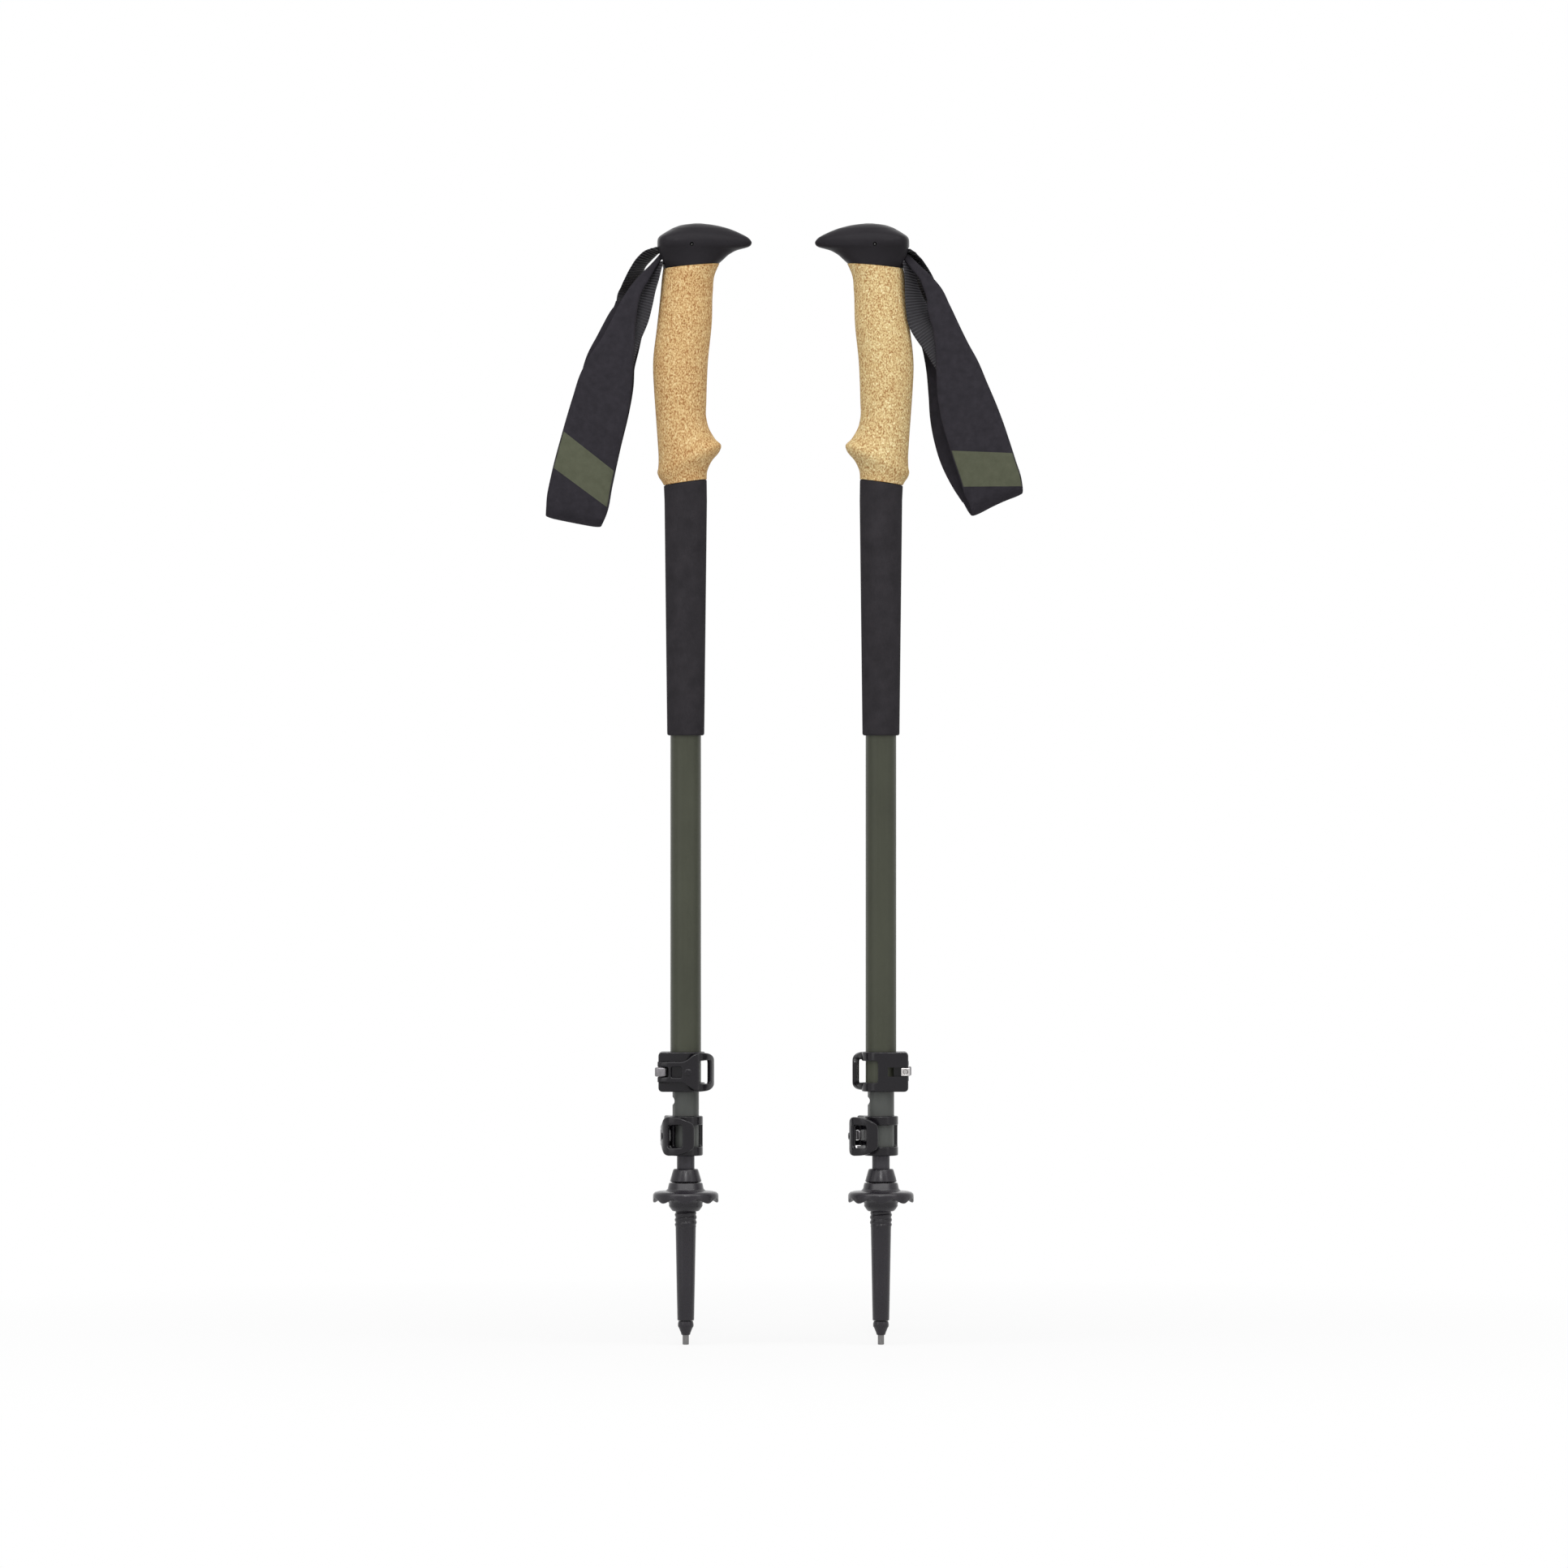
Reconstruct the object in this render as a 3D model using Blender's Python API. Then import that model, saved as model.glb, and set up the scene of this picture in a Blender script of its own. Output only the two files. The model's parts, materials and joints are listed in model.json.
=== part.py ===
"""A pair of three-section trekking poles with lever clamps, cork grips and wrist straps.

Metres, +Z up. The origin is on the ground, midway between the two tips. Each pole stands collapsed
and is built in its own frame, with its axis on Z and the beak of its head towards +X. The right pole
is the left one turned half a turn. Only its strap and its lower clamp's turn differ.
"""

import math

import bmesh
import bpy
from mathutils import Matrix, Vector

# Overall
POLE_SPACING = 0.1114  # between the two pole axes
FIT = 0.0003  # clearance between pieces that touch
ROUND = 24  # sides of a turned piece
SMALL_ROUND = 12  # sides of a pin or bore
SHARP_EDGE = math.radians(35)

# Tip
CARBIDE_RADIUS = 0.0018
CARBIDE_PROUD = 0.0055
CARBIDE_SEAT = 0.0060
FERRULE_LENGTH = 0.0080
FERRULE_RADIUS = 0.0045
FERRULE_NECK_RADIUS = 0.0042
FERRULE_NOSE_RADIUS = 0.0026
FERRULE_SHANK_RADIUS = 0.0029
FERRULE_SHANK_LENGTH = 0.0090
TIP_END_RADIUS = 0.0048
TIP_TAPER_LENGTH = 0.0531
THREAD_LENGTH = 0.0093
THREAD_ROOT_RADIUS = 0.0058
THREAD_DEPTH = 0.0005
THREAD_PITCH = 0.0029
CONE_HEIGHT = 0.0076
CONE_BASE_RADIUS = 0.0090
CONE_TOP_RADIUS = 0.0071

# Basket
BASKET_HEIGHT = 0.0162
BASKET_RADIUS = 0.0187
BASKET_WALL = 0.0016
BASKET_CLAWS = 8
CLAW_DEPTH = 0.0016
HUB_TOP_RADIUS = 0.0095
HUB_WALL = 0.0030

# Shafts
LOWER_RADIUS = 0.00645
LOWER_END_RADIUS = 0.0050
LOWER_SOCKET_RADIUS = 0.0042
LOWER_TAPER_LENGTH = 0.0900
LOWER_SHOWING = 0.0076
SOCKET_DEPTH = 0.0360
MIDDLE_RADIUS = 0.00755
MIDDLE_SHOWING = 0.0139
UPPER_RADIUS = 0.00875
UPPER_SHOWING = 0.1804
TUBE_WALL = 0.0007
PLUG_FLANGE = 0.0030
PLUG_DEPTH = 0.0120
SLIT_WIDTH = 0.0018
SLIT_LENGTH = 0.0190
NOTCH_RADIUS = 0.0029
NOTCH_DEPTH = 0.0014
NOTCH_BELOW_CLAMP = 0.0054

# Clamps
CLAMP_HEIGHT = 0.0227
COLLAR_WALL = 0.00195
COLLAR_LIP = 0.0010
COLLAR_RING = 0.0052
EAR_REACH = 0.0045
EAR_STEP = 0.0006
EAR_ROOT = 0.0020
EAR_SPLIT = 0.0022
PIN_RADIUS = 0.0015
PIN_REACH = 0.0029
PIN_STEP = 0.0025
KNUCKLE_RADIUS = 0.0032
LEVER_THICKNESS = 0.0026
ARM_HEIGHT = 0.0118
LOOP_END_HEIGHT = 0.0150
LOOP_WINDOW_HEIGHT = 0.0134
LINK_HEIGHT = 0.0052
LINK_EYE_RADIUS = 0.0036
LINK_SHANK = 0.0042
LINK_BORE_DEPTH = 0.0042
ADJUSTER_WIDTH = 0.0051
ADJUSTER_HEIGHT = 0.0046
ADJUSTER_LENGTH = 0.0054
ADJUSTER_SHANK_RADIUS = 0.0012
ADJUSTER_SOCKET_RADIUS = 0.0014
ADJUSTER_SEAT = 0.0055
ADJUSTER_CHANNEL_X = -0.0038
COLLAR_WINDOW = (-46, 80)  # degrees round the collar
LEFT_LOWER_CLAMP_TURN = -74
RIGHT_LOWER_CLAMP_TURN = 112
RIGHT_LOWER_LEVER_OPEN = 19

# Grip
FOAM_LENGTH = 0.1428
FOAM_TOP_RADIUS = 0.0122
FOAM_END_RADIUS = 0.0106
FOAM_EDGE = 0.0012
CORK_LENGTH = 0.1234
CORK_TOP_SLANT = 0.0030
CORK_SIDES = 22
HEAD_HEIGHT = 0.0257
HEAD_SIDES = 24
HEAD_REAR_SQUARENESS = 3.2  # 2 is an ellipse
SPIGOT_LENGTH = 0.0240
STRAP_SLOT_WIDTH = 0.0168
STRAP_SLOT_HEIGHT = 0.0100
STRAP_SLOT_FLOOR = 0.0022
WEDGE_ROOM_HEIGHT = 0.0145
WEDGE_ROOM_DEPTH = 0.0080
WEDGE_WIDTH = 0.0140
WEDGE_HUB_RADIUS = 0.0030
WEDGE_TOE_RADIUS = 0.0013
STRAP_PIN_RADIUS = 0.0012
STRAP_PIN_X = 0.0036
STRAP_PIN_HEIGHT = 0.0131

# Strap
BAND_THICKNESS = 0.0024
WEBBING_WIDTH = 0.0160
WEBBING_THICKNESS = 0.0013
STRAP_ENTRY_X = -0.0128
STRAP_SWING_X = -0.0170
STRAP_SWING_HEIGHT = 0.0109

# Heights along a pole, from the ground up
FERRULE_Z = CARBIDE_PROUD
TIP_Z = FERRULE_Z + FERRULE_LENGTH + FIT
THREAD_Z = TIP_Z + TIP_TAPER_LENGTH
BASKET_Z = THREAD_Z + THREAD_LENGTH
CONE_Z = BASKET_Z + BASKET_HEIGHT + FIT
CONE_TOP_Z = CONE_Z + CONE_HEIGHT
LOWER_CLAMP_Z = CONE_TOP_Z + LOWER_SHOWING
UPPER_CLAMP_Z = LOWER_CLAMP_Z + CLAMP_HEIGHT + MIDDLE_SHOWING
LOWER_SHAFT_Z = CONE_TOP_Z - SOCKET_DEPTH
MIDDLE_SHAFT_Z = LOWER_CLAMP_Z + COLLAR_LIP + FIT
UPPER_SHAFT_Z = UPPER_CLAMP_Z + COLLAR_LIP + FIT
FOAM_Z = UPPER_CLAMP_Z + CLAMP_HEIGHT + UPPER_SHOWING
CORK_Z = FOAM_Z + FOAM_LENGTH
HEAD_Z = CORK_Z + CORK_LENGTH + FIT
SLOT_Z = HEAD_Z + STRAP_SLOT_FLOOR
STRAP_PIN_Z = HEAD_Z + STRAP_PIN_HEIGHT
UPPER_LENGTH = HEAD_Z - FIT - UPPER_SHAFT_Z
UPPER_BORE = UPPER_RADIUS - TUBE_WALL
MIDDLE_BORE = MIDDLE_RADIUS - TUBE_WALL
LOWER_BORE = LOWER_RADIUS - TUBE_WALL
# Collapsed, each inner tube's plug stops just short of the piece above it.
MIDDLE_TOP = HEAD_Z - SPIGOT_LENGTH - PLUG_FLANGE - FIT
LOWER_TOP = MIDDLE_TOP - PLUG_DEPTH - PLUG_FLANGE - FIT

# Side outlines of the grip: front and rear points, and half-depths.
# Heights are shares of the piece's own height.
CORK_RINGS = (
    ((0.0120, 0.028), (-0.0125, 0.000), 0.0122),
    ((0.0122, 0.062), (-0.0137, 0.017), 0.0126),
    ((0.0148, 0.111), (-0.0153, 0.036), 0.0137),
    ((0.0193, 0.156), (-0.0162, 0.062), 0.0150),
    ((0.0203, 0.178), (-0.0158, 0.074), 0.0152),
    ((0.0170, 0.212), (-0.0155, 0.122), 0.0146),
    ((0.0138, 0.254), (-0.0159, 0.186), 0.0139),
    ((0.0118, 0.310), (-0.0168, 0.291), 0.0134),
    ((0.0118, 0.392), (-0.0181, 0.441), 0.0134),
    ((0.0126, 0.562), (-0.0186, 0.572), 0.0136),
    ((0.0149, 0.753), (-0.0163, 0.741), 0.0135),
    ((0.0155, 0.899), (-0.0144, 0.884), 0.0131),
    ((0.0167, 0.978), (-0.0135, 0.963), 0.0131),
)
GRIP_TOP_FRONT = 0.0192
GRIP_TOP_REAR = -0.0129
GRIP_TOP_HALF_DEPTH = 0.0132
HEAD_RINGS = (
    ((0.0212, 0.187), (-0.0139, 0.152), 0.0137, 0.06),
    ((0.0256, 0.331), (-0.0158, 0.331), 0.0144, 0.18),
    ((0.0294, 0.405), (-0.0161, 0.424), 0.0148, 0.28),
    ((0.0357, 0.475), (-0.0162, 0.494), 0.0150, 0.40),
    ((0.0376, 0.549), (-0.0162, 0.568), 0.0150, 0.44),
    ((0.0372, 0.619), (-0.0160, 0.638), 0.0148, 0.44),
    ((0.0353, 0.693), (-0.0151, 0.700), 0.0143, 0.42),
    ((0.0318, 0.767), (-0.0128, 0.767), 0.0131, 0.38),
    ((0.0278, 0.837), (-0.0099, 0.837), 0.0113, 0.32),
    ((0.0223, 0.911), (-0.0063, 0.911), 0.0087, 0.24),
    ((0.0133, 0.981), (0.0004, 0.981), 0.0040, 0.10),
    ((0.0090, 1.000), (0.0045, 1.000), 0.0014, 0.00),
)

# Lever of a clamp: angle round the collar, stand-off from it, and where each feature of the lever is.
LEVER_PATH = (
    (-128, 0.0044),
    (-119, 0.0037),
    (-101, 0.0031),
    (-86, 0.0035),
    (-69, 0.0046),
    (-63, 0.0047),
    (-49, 0.0042),
    (-34, 0.0039),
    (-20, 0.0039),
    (-9, 0.0041),
    (-1, 0.0040),
)
ARM_WINDOW_SPANS = (2,)  # spans of the lever that are open, counted from its pin
ARM_STATIONS = 5  # stations before the lever flares out into its loop
LOOP_WINDOW_SPANS = (6, 7, 8)

# Straps: in-plane place, depth, width and twist in degrees of each station.
# Depth counts towards the viewer.
# Heights count down from the head's base, and x from the pole's axis.
LEFT_BAND_FRONT = (
    (-0.0157, 0.0066, 0.0030, 0.0020),
    (-0.0174, 0.0042, 0.0036, 0.0024),
    (-0.0204, 0.0000, 0.0046, 0.0040),
    (-0.0238, -0.0048, 0.0058, 0.0058),
    (-0.0294, -0.0138, 0.0074, 0.0074),
    (-0.0334, -0.0226, 0.0084, 0.0096),
    (-0.0367, -0.0337, 0.0090, 0.0134),
    (-0.0395, -0.0444, 0.0094, 0.0188),
    (-0.0424, -0.0536, 0.0096, 0.0248),
    (-0.0456, -0.0657, 0.0096, 0.0308),
    (-0.0482, -0.0768, 0.0094, 0.0326),
    (-0.0540, -0.0990, 0.0086, 0.0341),
    (-0.0593, -0.1212, 0.0074, 0.0352),
    (-0.0622, -0.1360, 0.0062, 0.0350),
)
LEFT_BAND_BACK = (
    (-0.0622, -0.1360, 0.0062, 0.0350),
    (-0.0593, -0.1212, 0.0074, 0.0352),
    (-0.0540, -0.0990, 0.0086, 0.0341),
    (-0.0480, -0.0768, 0.0094, 0.0326),
    (-0.0454, -0.0657, 0.0096, 0.0312),
    (-0.0434, -0.0546, 0.0095, 0.0288),
    (-0.0393, -0.0435, 0.0092, 0.0258),
    (-0.0352, -0.0324, 0.0087, 0.0226),
    (-0.0318, -0.0240, 0.0080, 0.0200),
    (-0.0306, -0.0190, 0.0072, 0.0164),
)
LEFT_BAND_FOLD = (-0.0637, -0.1425)
LEFT_ANCHOR = (
    (STRAP_ENTRY_X, 0.0046, 0.0000, 90),
    (-0.0152, 0.0034, 0.0004, 86),
    (-0.0171, -0.0006, 0.0010, 74),
    (-0.0188, -0.0060, 0.0020, 62),
    (-0.0210, -0.0125, 0.0032, 48),
    (-0.0234, -0.0200, 0.0044, 32),
    (-0.0262, -0.0290, 0.0053, 14),
    (-0.0300, -0.0390, 0.0058, 4),
    (-0.0344, -0.0500, 0.0063, 0),
    (-0.0372, -0.0590, 0.0063, 0),
)
LEFT_ADJUST = (
    (STRAP_ENTRY_X, 0.0112, 0.0000, -90),
    (-0.0164, 0.0102, 0.0000, -80),
    (-0.0190, 0.0085, 0.0010, -68),
    (-0.0236, 0.0039, 0.0028, -62),
    (-0.0278, -0.0026, 0.0054, -56),
    (-0.0300, -0.0085, 0.0080, -46),
    (-0.0309, -0.0130, 0.0098, -22),
    (-0.0314, -0.0170, 0.0106, -6),
    (-0.0322, -0.0220, 0.0110, 0),
    (-0.0350, -0.0310, 0.0113, 0),
    (-0.0384, -0.0400, 0.0117, 0),
)
RIGHT_BAND_FRONT = (
    (-0.0157, 0.0064, 0.0044, 0.0020),
    (-0.0174, 0.0042, 0.0052, 0.0024),
    (-0.0206, 0.0000, 0.0062, 0.0040),
    (-0.0242, -0.0046, 0.0070, 0.0060),
    (-0.0274, -0.0094, 0.0074, 0.0082),
    (-0.0304, -0.0147, 0.0076, 0.0102),
    (-0.0330, -0.0235, 0.0084, 0.0132),
    (-0.0370, -0.0346, 0.0090, 0.0154),
    (-0.0407, -0.0472, 0.0094, 0.0201),
    (-0.0434, -0.0568, 0.0096, 0.0248),
    (-0.0468, -0.0712, 0.0096, 0.0298),
    (-0.0500, -0.0823, 0.0094, 0.0325),
    (-0.0537, -0.0934, 0.0090, 0.0335),
    (-0.0573, -0.1045, 0.0084, 0.0338),
    (-0.0610, -0.1156, 0.0074, 0.0336),
    (-0.0640, -0.1250, 0.0062, 0.0336),
)
RIGHT_BAND_BACK = (
    (-0.0620, -0.1262, 0.0062, 0.0336),
    (-0.0554, -0.1160, 0.0074, 0.0336),
    (-0.0500, -0.1050, 0.0084, 0.0336),
    (-0.0464, -0.0934, 0.0090, 0.0332),
    (-0.0440, -0.0823, 0.0094, 0.0322),
    (-0.0422, -0.0712, 0.0096, 0.0300),
    (-0.0400, -0.0568, 0.0095, 0.0282),
    (-0.0366, -0.0450, 0.0092, 0.0256),
    (-0.0316, -0.0330, 0.0087, 0.0222),
    (-0.0282, -0.0235, 0.0080, 0.0190),
)
RIGHT_BAND_FOLD = (-0.0657, -0.1330)
RIGHT_ANCHOR = (
    (STRAP_ENTRY_X, 0.0046, 0.0000, 90),
    (-0.0150, 0.0034, 0.0004, 86),
    (-0.0162, -0.0010, 0.0012, 74),
    (-0.0172, -0.0080, 0.0024, 64),
    (-0.0186, -0.0150, 0.0036, 52),
    (-0.0205, -0.0225, 0.0047, 36),
    (-0.0234, -0.0315, 0.0055, 16),
    (-0.0284, -0.0415, 0.0060, 4),
    (-0.0330, -0.0510, 0.0063, 0),
    (-0.0364, -0.0590, 0.0063, 0),
)
RIGHT_ADJUST = (
    (STRAP_ENTRY_X, 0.0112, 0.0000, -90),
    (-0.0164, 0.0098, 0.0000, -84),
    (-0.0188, 0.0066, 0.0018, -70),
    (-0.0210, 0.0026, 0.0038, -62),
    (-0.0237, -0.0030, 0.0060, -54),
    (-0.0262, -0.0100, 0.0084, -42),
    (-0.0284, -0.0170, 0.0102, -20),
    (-0.0304, -0.0240, 0.0110, -4),
    (-0.0332, -0.0320, 0.0113, 0),
    (-0.0372, -0.0420, 0.0117, 0),
)
FOLD_STEPS = 5


def clear_scene():
    for obj in list(bpy.data.objects):
        bpy.data.objects.remove(obj, do_unlink=True)


def principled(name, colour, roughness, metallic=0.0):
    """A plain Principled material."""
    material = bpy.data.materials.new(name)
    material.use_nodes = True
    shader = material.node_tree.nodes["Principled BSDF"]
    shader.inputs["Base Color"].default_value = (*colour, 1.0)
    shader.inputs["Roughness"].default_value = roughness
    shader.inputs["Metallic"].default_value = metallic
    return material


def make_materials():
    return {
        "carbide": principled("carbide", (0.26, 0.25, 0.25), 0.45, 0.8),
        "tip_plastic": principled("tip_plastic", (0.035, 0.033, 0.038), 0.55),
        "clamp_plastic": principled("clamp_plastic", (0.022, 0.020, 0.024), 0.35),
        "steel": principled("steel", (0.60, 0.58, 0.57), 0.3, 1.0),
        "black_tube": principled("black_tube", (0.035, 0.033, 0.038), 0.4, 0.4),
        "grey_green_tube": principled("grey_green_tube", (0.075, 0.085, 0.072), 0.4, 0.4),
        "olive_tube": principled("olive_tube", (0.065, 0.070, 0.048), 0.4, 0.4),
        "plug_plastic": principled("plug_plastic", (0.10, 0.10, 0.10), 0.5),
        "foam": principled("foam", (0.030, 0.028, 0.030), 0.9),
        "cork": principled("cork", (0.60, 0.37, 0.15), 0.8),
        "head_rubber": principled("head_rubber", (0.022, 0.022, 0.024), 0.5),
        "band_fabric": principled("band_fabric", (0.032, 0.029, 0.034), 0.85),
        "webbing": principled("webbing", (0.020, 0.019, 0.021), 0.7),
    }


def empty(name, parent=None, location=(0, 0, 0), turn=0.0):
    """A frame that pieces are placed in, turned about Z by degrees."""
    frame = bpy.data.objects.new(name, None)
    bpy.context.scene.collection.objects.link(frame)
    frame.parent = parent
    frame.location = location
    frame.rotation_euler = (0, 0, math.radians(turn))
    return frame


def add_object(name, shape, material, parent, origin=(0, 0, 0)):
    """An object from a bmesh in its parent's frame, with its own origin at a given point there."""
    bmesh.ops.translate(shape, vec=-Vector(origin), verts=shape.verts)
    bmesh.ops.recalc_face_normals(shape, faces=shape.faces)
    mesh = bpy.data.meshes.new(name)
    shape.to_mesh(mesh)
    shape.free()
    mesh.shade_smooth()
    mesh.set_sharp_from_angle(angle=SHARP_EDGE)
    if material:
        mesh.materials.append(material)
    obj = bpy.data.objects.new(name, mesh)
    bpy.context.scene.collection.objects.link(obj)
    obj.parent = parent
    obj.location = origin
    return obj


def boolean(target, shape, operation, name, parent, origin=(0, 0, 0)):
    """Cuts or joins a shape given in a parent's frame. The tool stays as a hidden wire object."""
    tool = add_object(f"{target.name}_{name}", shape, None, parent, origin)
    tool.hide_render = True
    tool.display_type = "WIRE"
    modifier = target.modifiers.new(name, "BOOLEAN")
    modifier.operation = operation
    modifier.solver = "EXACT"
    modifier.object = tool


def loft(rings, closed=False):
    """A closed body through rings of points, capped at both ends or closed on its first ring."""
    shape = bmesh.new()
    loops = [[shape.verts.new(point) for point in ring] for ring in rings]
    count = len(loops[0])
    pairs = list(zip(loops, loops[1:]))
    if closed:
        pairs.append((loops[-1], loops[0]))
    for low, high in pairs:
        for i in range(count):
            j = (i + 1) % count
            shape.faces.new((low[i], low[j], high[j], high[i]))
    if not closed:
        shape.faces.new(loops[0])
        shape.faces.new(loops[-1])
    return shape


def circle(radius, z, sides, centre=(0, 0)):
    step = 2 * math.pi / sides
    return [
        (centre[0] + radius * math.cos(i * step), centre[1] + radius * math.sin(i * step), z)
        for i in range(sides)
    ]


def turned(profile, sides=ROUND):
    """A solid turned about Z from radius and height pairs."""
    return loft([circle(radius, z, sides) for radius, z in profile])


def tube(outer, inner, sides=ROUND):
    """A turned tube: outer profile from the bottom up, inner profile from the bottom up."""
    profile = list(outer) + list(reversed(inner))
    return loft([circle(radius, z, sides) for radius, z in profile], closed=True)


def rod(radius, low, high, sides=SMALL_ROUND, centre=(0, 0)):
    return loft([circle(radius, z, sides, centre) for z in (low, high)])


def cross_rod(radius, x, z, y_low, y_high, sides=SMALL_ROUND):
    """A rod along Y."""
    step = 2 * math.pi / sides
    rings = [
        [(x + radius * math.cos(i * step), y, z + radius * math.sin(i * step)) for i in range(sides)]
        for y in (y_low, y_high)
    ]
    return loft(rings)


def box(low, high):
    corners = [(low[0], low[1]), (high[0], low[1]), (high[0], high[1]), (low[0], high[1])]
    return loft([[(x, y, z) for x, y in corners] for z in (low[2], high[2])])


def sector(inner, outer, start, end, low, high, steps=6):
    """A block between two radii and two angles in degrees."""
    angles = [math.radians(start + (end - start) * i / steps) for i in range(steps + 1)]
    rings = [
        [
            (radius * math.cos(a), radius * math.sin(a), z)
            for radius, z in ((inner, low), (outer, low), (outer, high), (inner, high))
        ]
        for a in angles
    ]
    return loft(rings)


def make_tip(side, pole, paint):
    """Carbide pin, ferrule, threaded flex tip and basket."""
    carbide_top = CARBIDE_PROUD + CARBIDE_SEAT
    shape = rod(CARBIDE_RADIUS, 0, carbide_top)
    add_object(f"{side}_carbide_tip", shape, paint["carbide"], pole)

    ferrule_top = FERRULE_Z + FERRULE_LENGTH
    bulge = FERRULE_Z + 0.72 * FERRULE_LENGTH
    shank_top = ferrule_top + FERRULE_SHANK_LENGTH
    shape = tube(
        (
            (FERRULE_NOSE_RADIUS, FERRULE_Z),
            (FERRULE_NOSE_RADIUS, FERRULE_Z + 0.15 * FERRULE_LENGTH),
            (FERRULE_RADIUS, bulge - 0.1 * FERRULE_LENGTH),
            (FERRULE_RADIUS, bulge + 0.08 * FERRULE_LENGTH),
            (FERRULE_NECK_RADIUS, ferrule_top),
            (FERRULE_SHANK_RADIUS, ferrule_top),
            (FERRULE_SHANK_RADIUS, shank_top),
        ),
        ((CARBIDE_RADIUS + FIT, FERRULE_Z), (CARBIDE_RADIUS + FIT, shank_top)),
        16,
    )
    add_object(f"{side}_tip_ferrule", shape, paint["tip_plastic"], pole)

    add_object(f"{side}_flex_tip", flex_tip(), paint["tip_plastic"], pole)
    basket_origin = (0, 0, BASKET_Z)
    add_object(f"{side}_trekking_basket", basket(), paint["tip_plastic"], pole, basket_origin)


def flex_tip():
    """Tapered moulded tip, threaded below the basket, with a cone above it and a bore for the shaft."""
    sides = 16
    rows_per_turn = 4
    thread_rows = round(rows_per_turn * THREAD_LENGTH / THREAD_PITCH)
    core = THREAD_ROOT_RADIUS
    rings = [circle(FERRULE_SHANK_RADIUS + FIT, TIP_Z, sides), circle(TIP_END_RADIUS, TIP_Z, sides)]
    rings.append(circle(core, THREAD_Z, sides))
    for row in range(1, thread_rows):
        z = THREAD_Z + THREAD_LENGTH * row / thread_rows
        rings.append(thread_ring(core, z, sides))
    cone_groove = CONE_BASE_RADIUS - 2 * THREAD_DEPTH
    for radius, z in (
        (core, BASKET_Z),
        (core, CONE_Z),
        (cone_groove, CONE_Z),
        (CONE_BASE_RADIUS, CONE_Z + 2 * FIT),
        (CONE_TOP_RADIUS, CONE_TOP_Z - FIT),
        (CONE_TOP_RADIUS - FIT, CONE_TOP_Z),
        (LOWER_END_RADIUS + FIT, CONE_TOP_Z),
        (LOWER_SOCKET_RADIUS + FIT, LOWER_SHAFT_Z - FIT),
    ):
        rings.append(circle(radius, z, sides))
    blind_end = TIP_Z + FERRULE_SHANK_LENGTH + FIT
    rings.append(circle(FERRULE_SHANK_RADIUS + FIT, LOWER_SHAFT_Z - FIT, sides))
    rings.append(circle(FERRULE_SHANK_RADIUS + FIT, blind_end, sides))
    return loft(rings, closed=True)


def thread_ring(core, z, sides):
    """One row of the threaded zone: the radius rises and falls once a turn, as on a helix."""
    ring = []
    for i in range(sides):
        angle = 2 * math.pi * i / sides
        phase = 2 * math.pi * (z - THREAD_Z) / THREAD_PITCH - angle
        radius = core + THREAD_DEPTH * (0.5 + 0.5 * math.cos(phase))
        ring.append((radius * math.cos(angle), radius * math.sin(angle), z))
    return ring


def basket():
    """Hub and shallow dish, whose rim drops into claws between scallops."""
    sides = 5 * BASKET_CLAWS
    bore = THREAD_ROOT_RADIUS + THREAD_DEPTH + FIT
    low_hub = bore + HUB_WALL
    top = BASKET_Z + BASKET_HEIGHT
    dish = BASKET_Z + 0.50 * BASKET_HEIGHT
    crown = BASKET_Z + 0.78 * BASKET_HEIGHT
    profile = (
        (bore, BASKET_Z, 0),
        (bore + 0.3 * HUB_WALL, BASKET_Z, 0),
        (low_hub, BASKET_Z + 0.16 * BASKET_HEIGHT, 0),
        (low_hub, BASKET_Z + 0.30 * BASKET_HEIGHT, 0),
        (BASKET_RADIUS - 3 * BASKET_WALL, dish - 0.6 * BASKET_WALL, 0.3),
        (BASKET_RADIUS - BASKET_WALL, dish - BASKET_WALL, 1.0),
        (BASKET_RADIUS, dish - BASKET_WALL, 1.0),
        (BASKET_RADIUS, dish + 0.9 * BASKET_WALL, 0),
        (BASKET_RADIUS - BASKET_WALL, dish + 1.9 * BASKET_WALL, 0),
        (HUB_TOP_RADIUS + BASKET_WALL, crown - 0.4 * BASKET_WALL, 0),
        (HUB_TOP_RADIUS + 0.6 * BASKET_WALL, crown, 0),
        (HUB_TOP_RADIUS, top, 0),
        (bore, top, 0),
    )
    rings = []
    for radius, z, drop in profile:
        ring = []
        for x, y, height in circle(radius, z, sides):
            wave = 0.5 + 0.5 * math.cos(BASKET_CLAWS * math.atan2(y, x))
            ring.append((x, y, height - drop * CLAW_DEPTH * (1.6 * wave - 0.6)))
        rings.append(ring)
    return loft(rings, closed=True)


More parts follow.
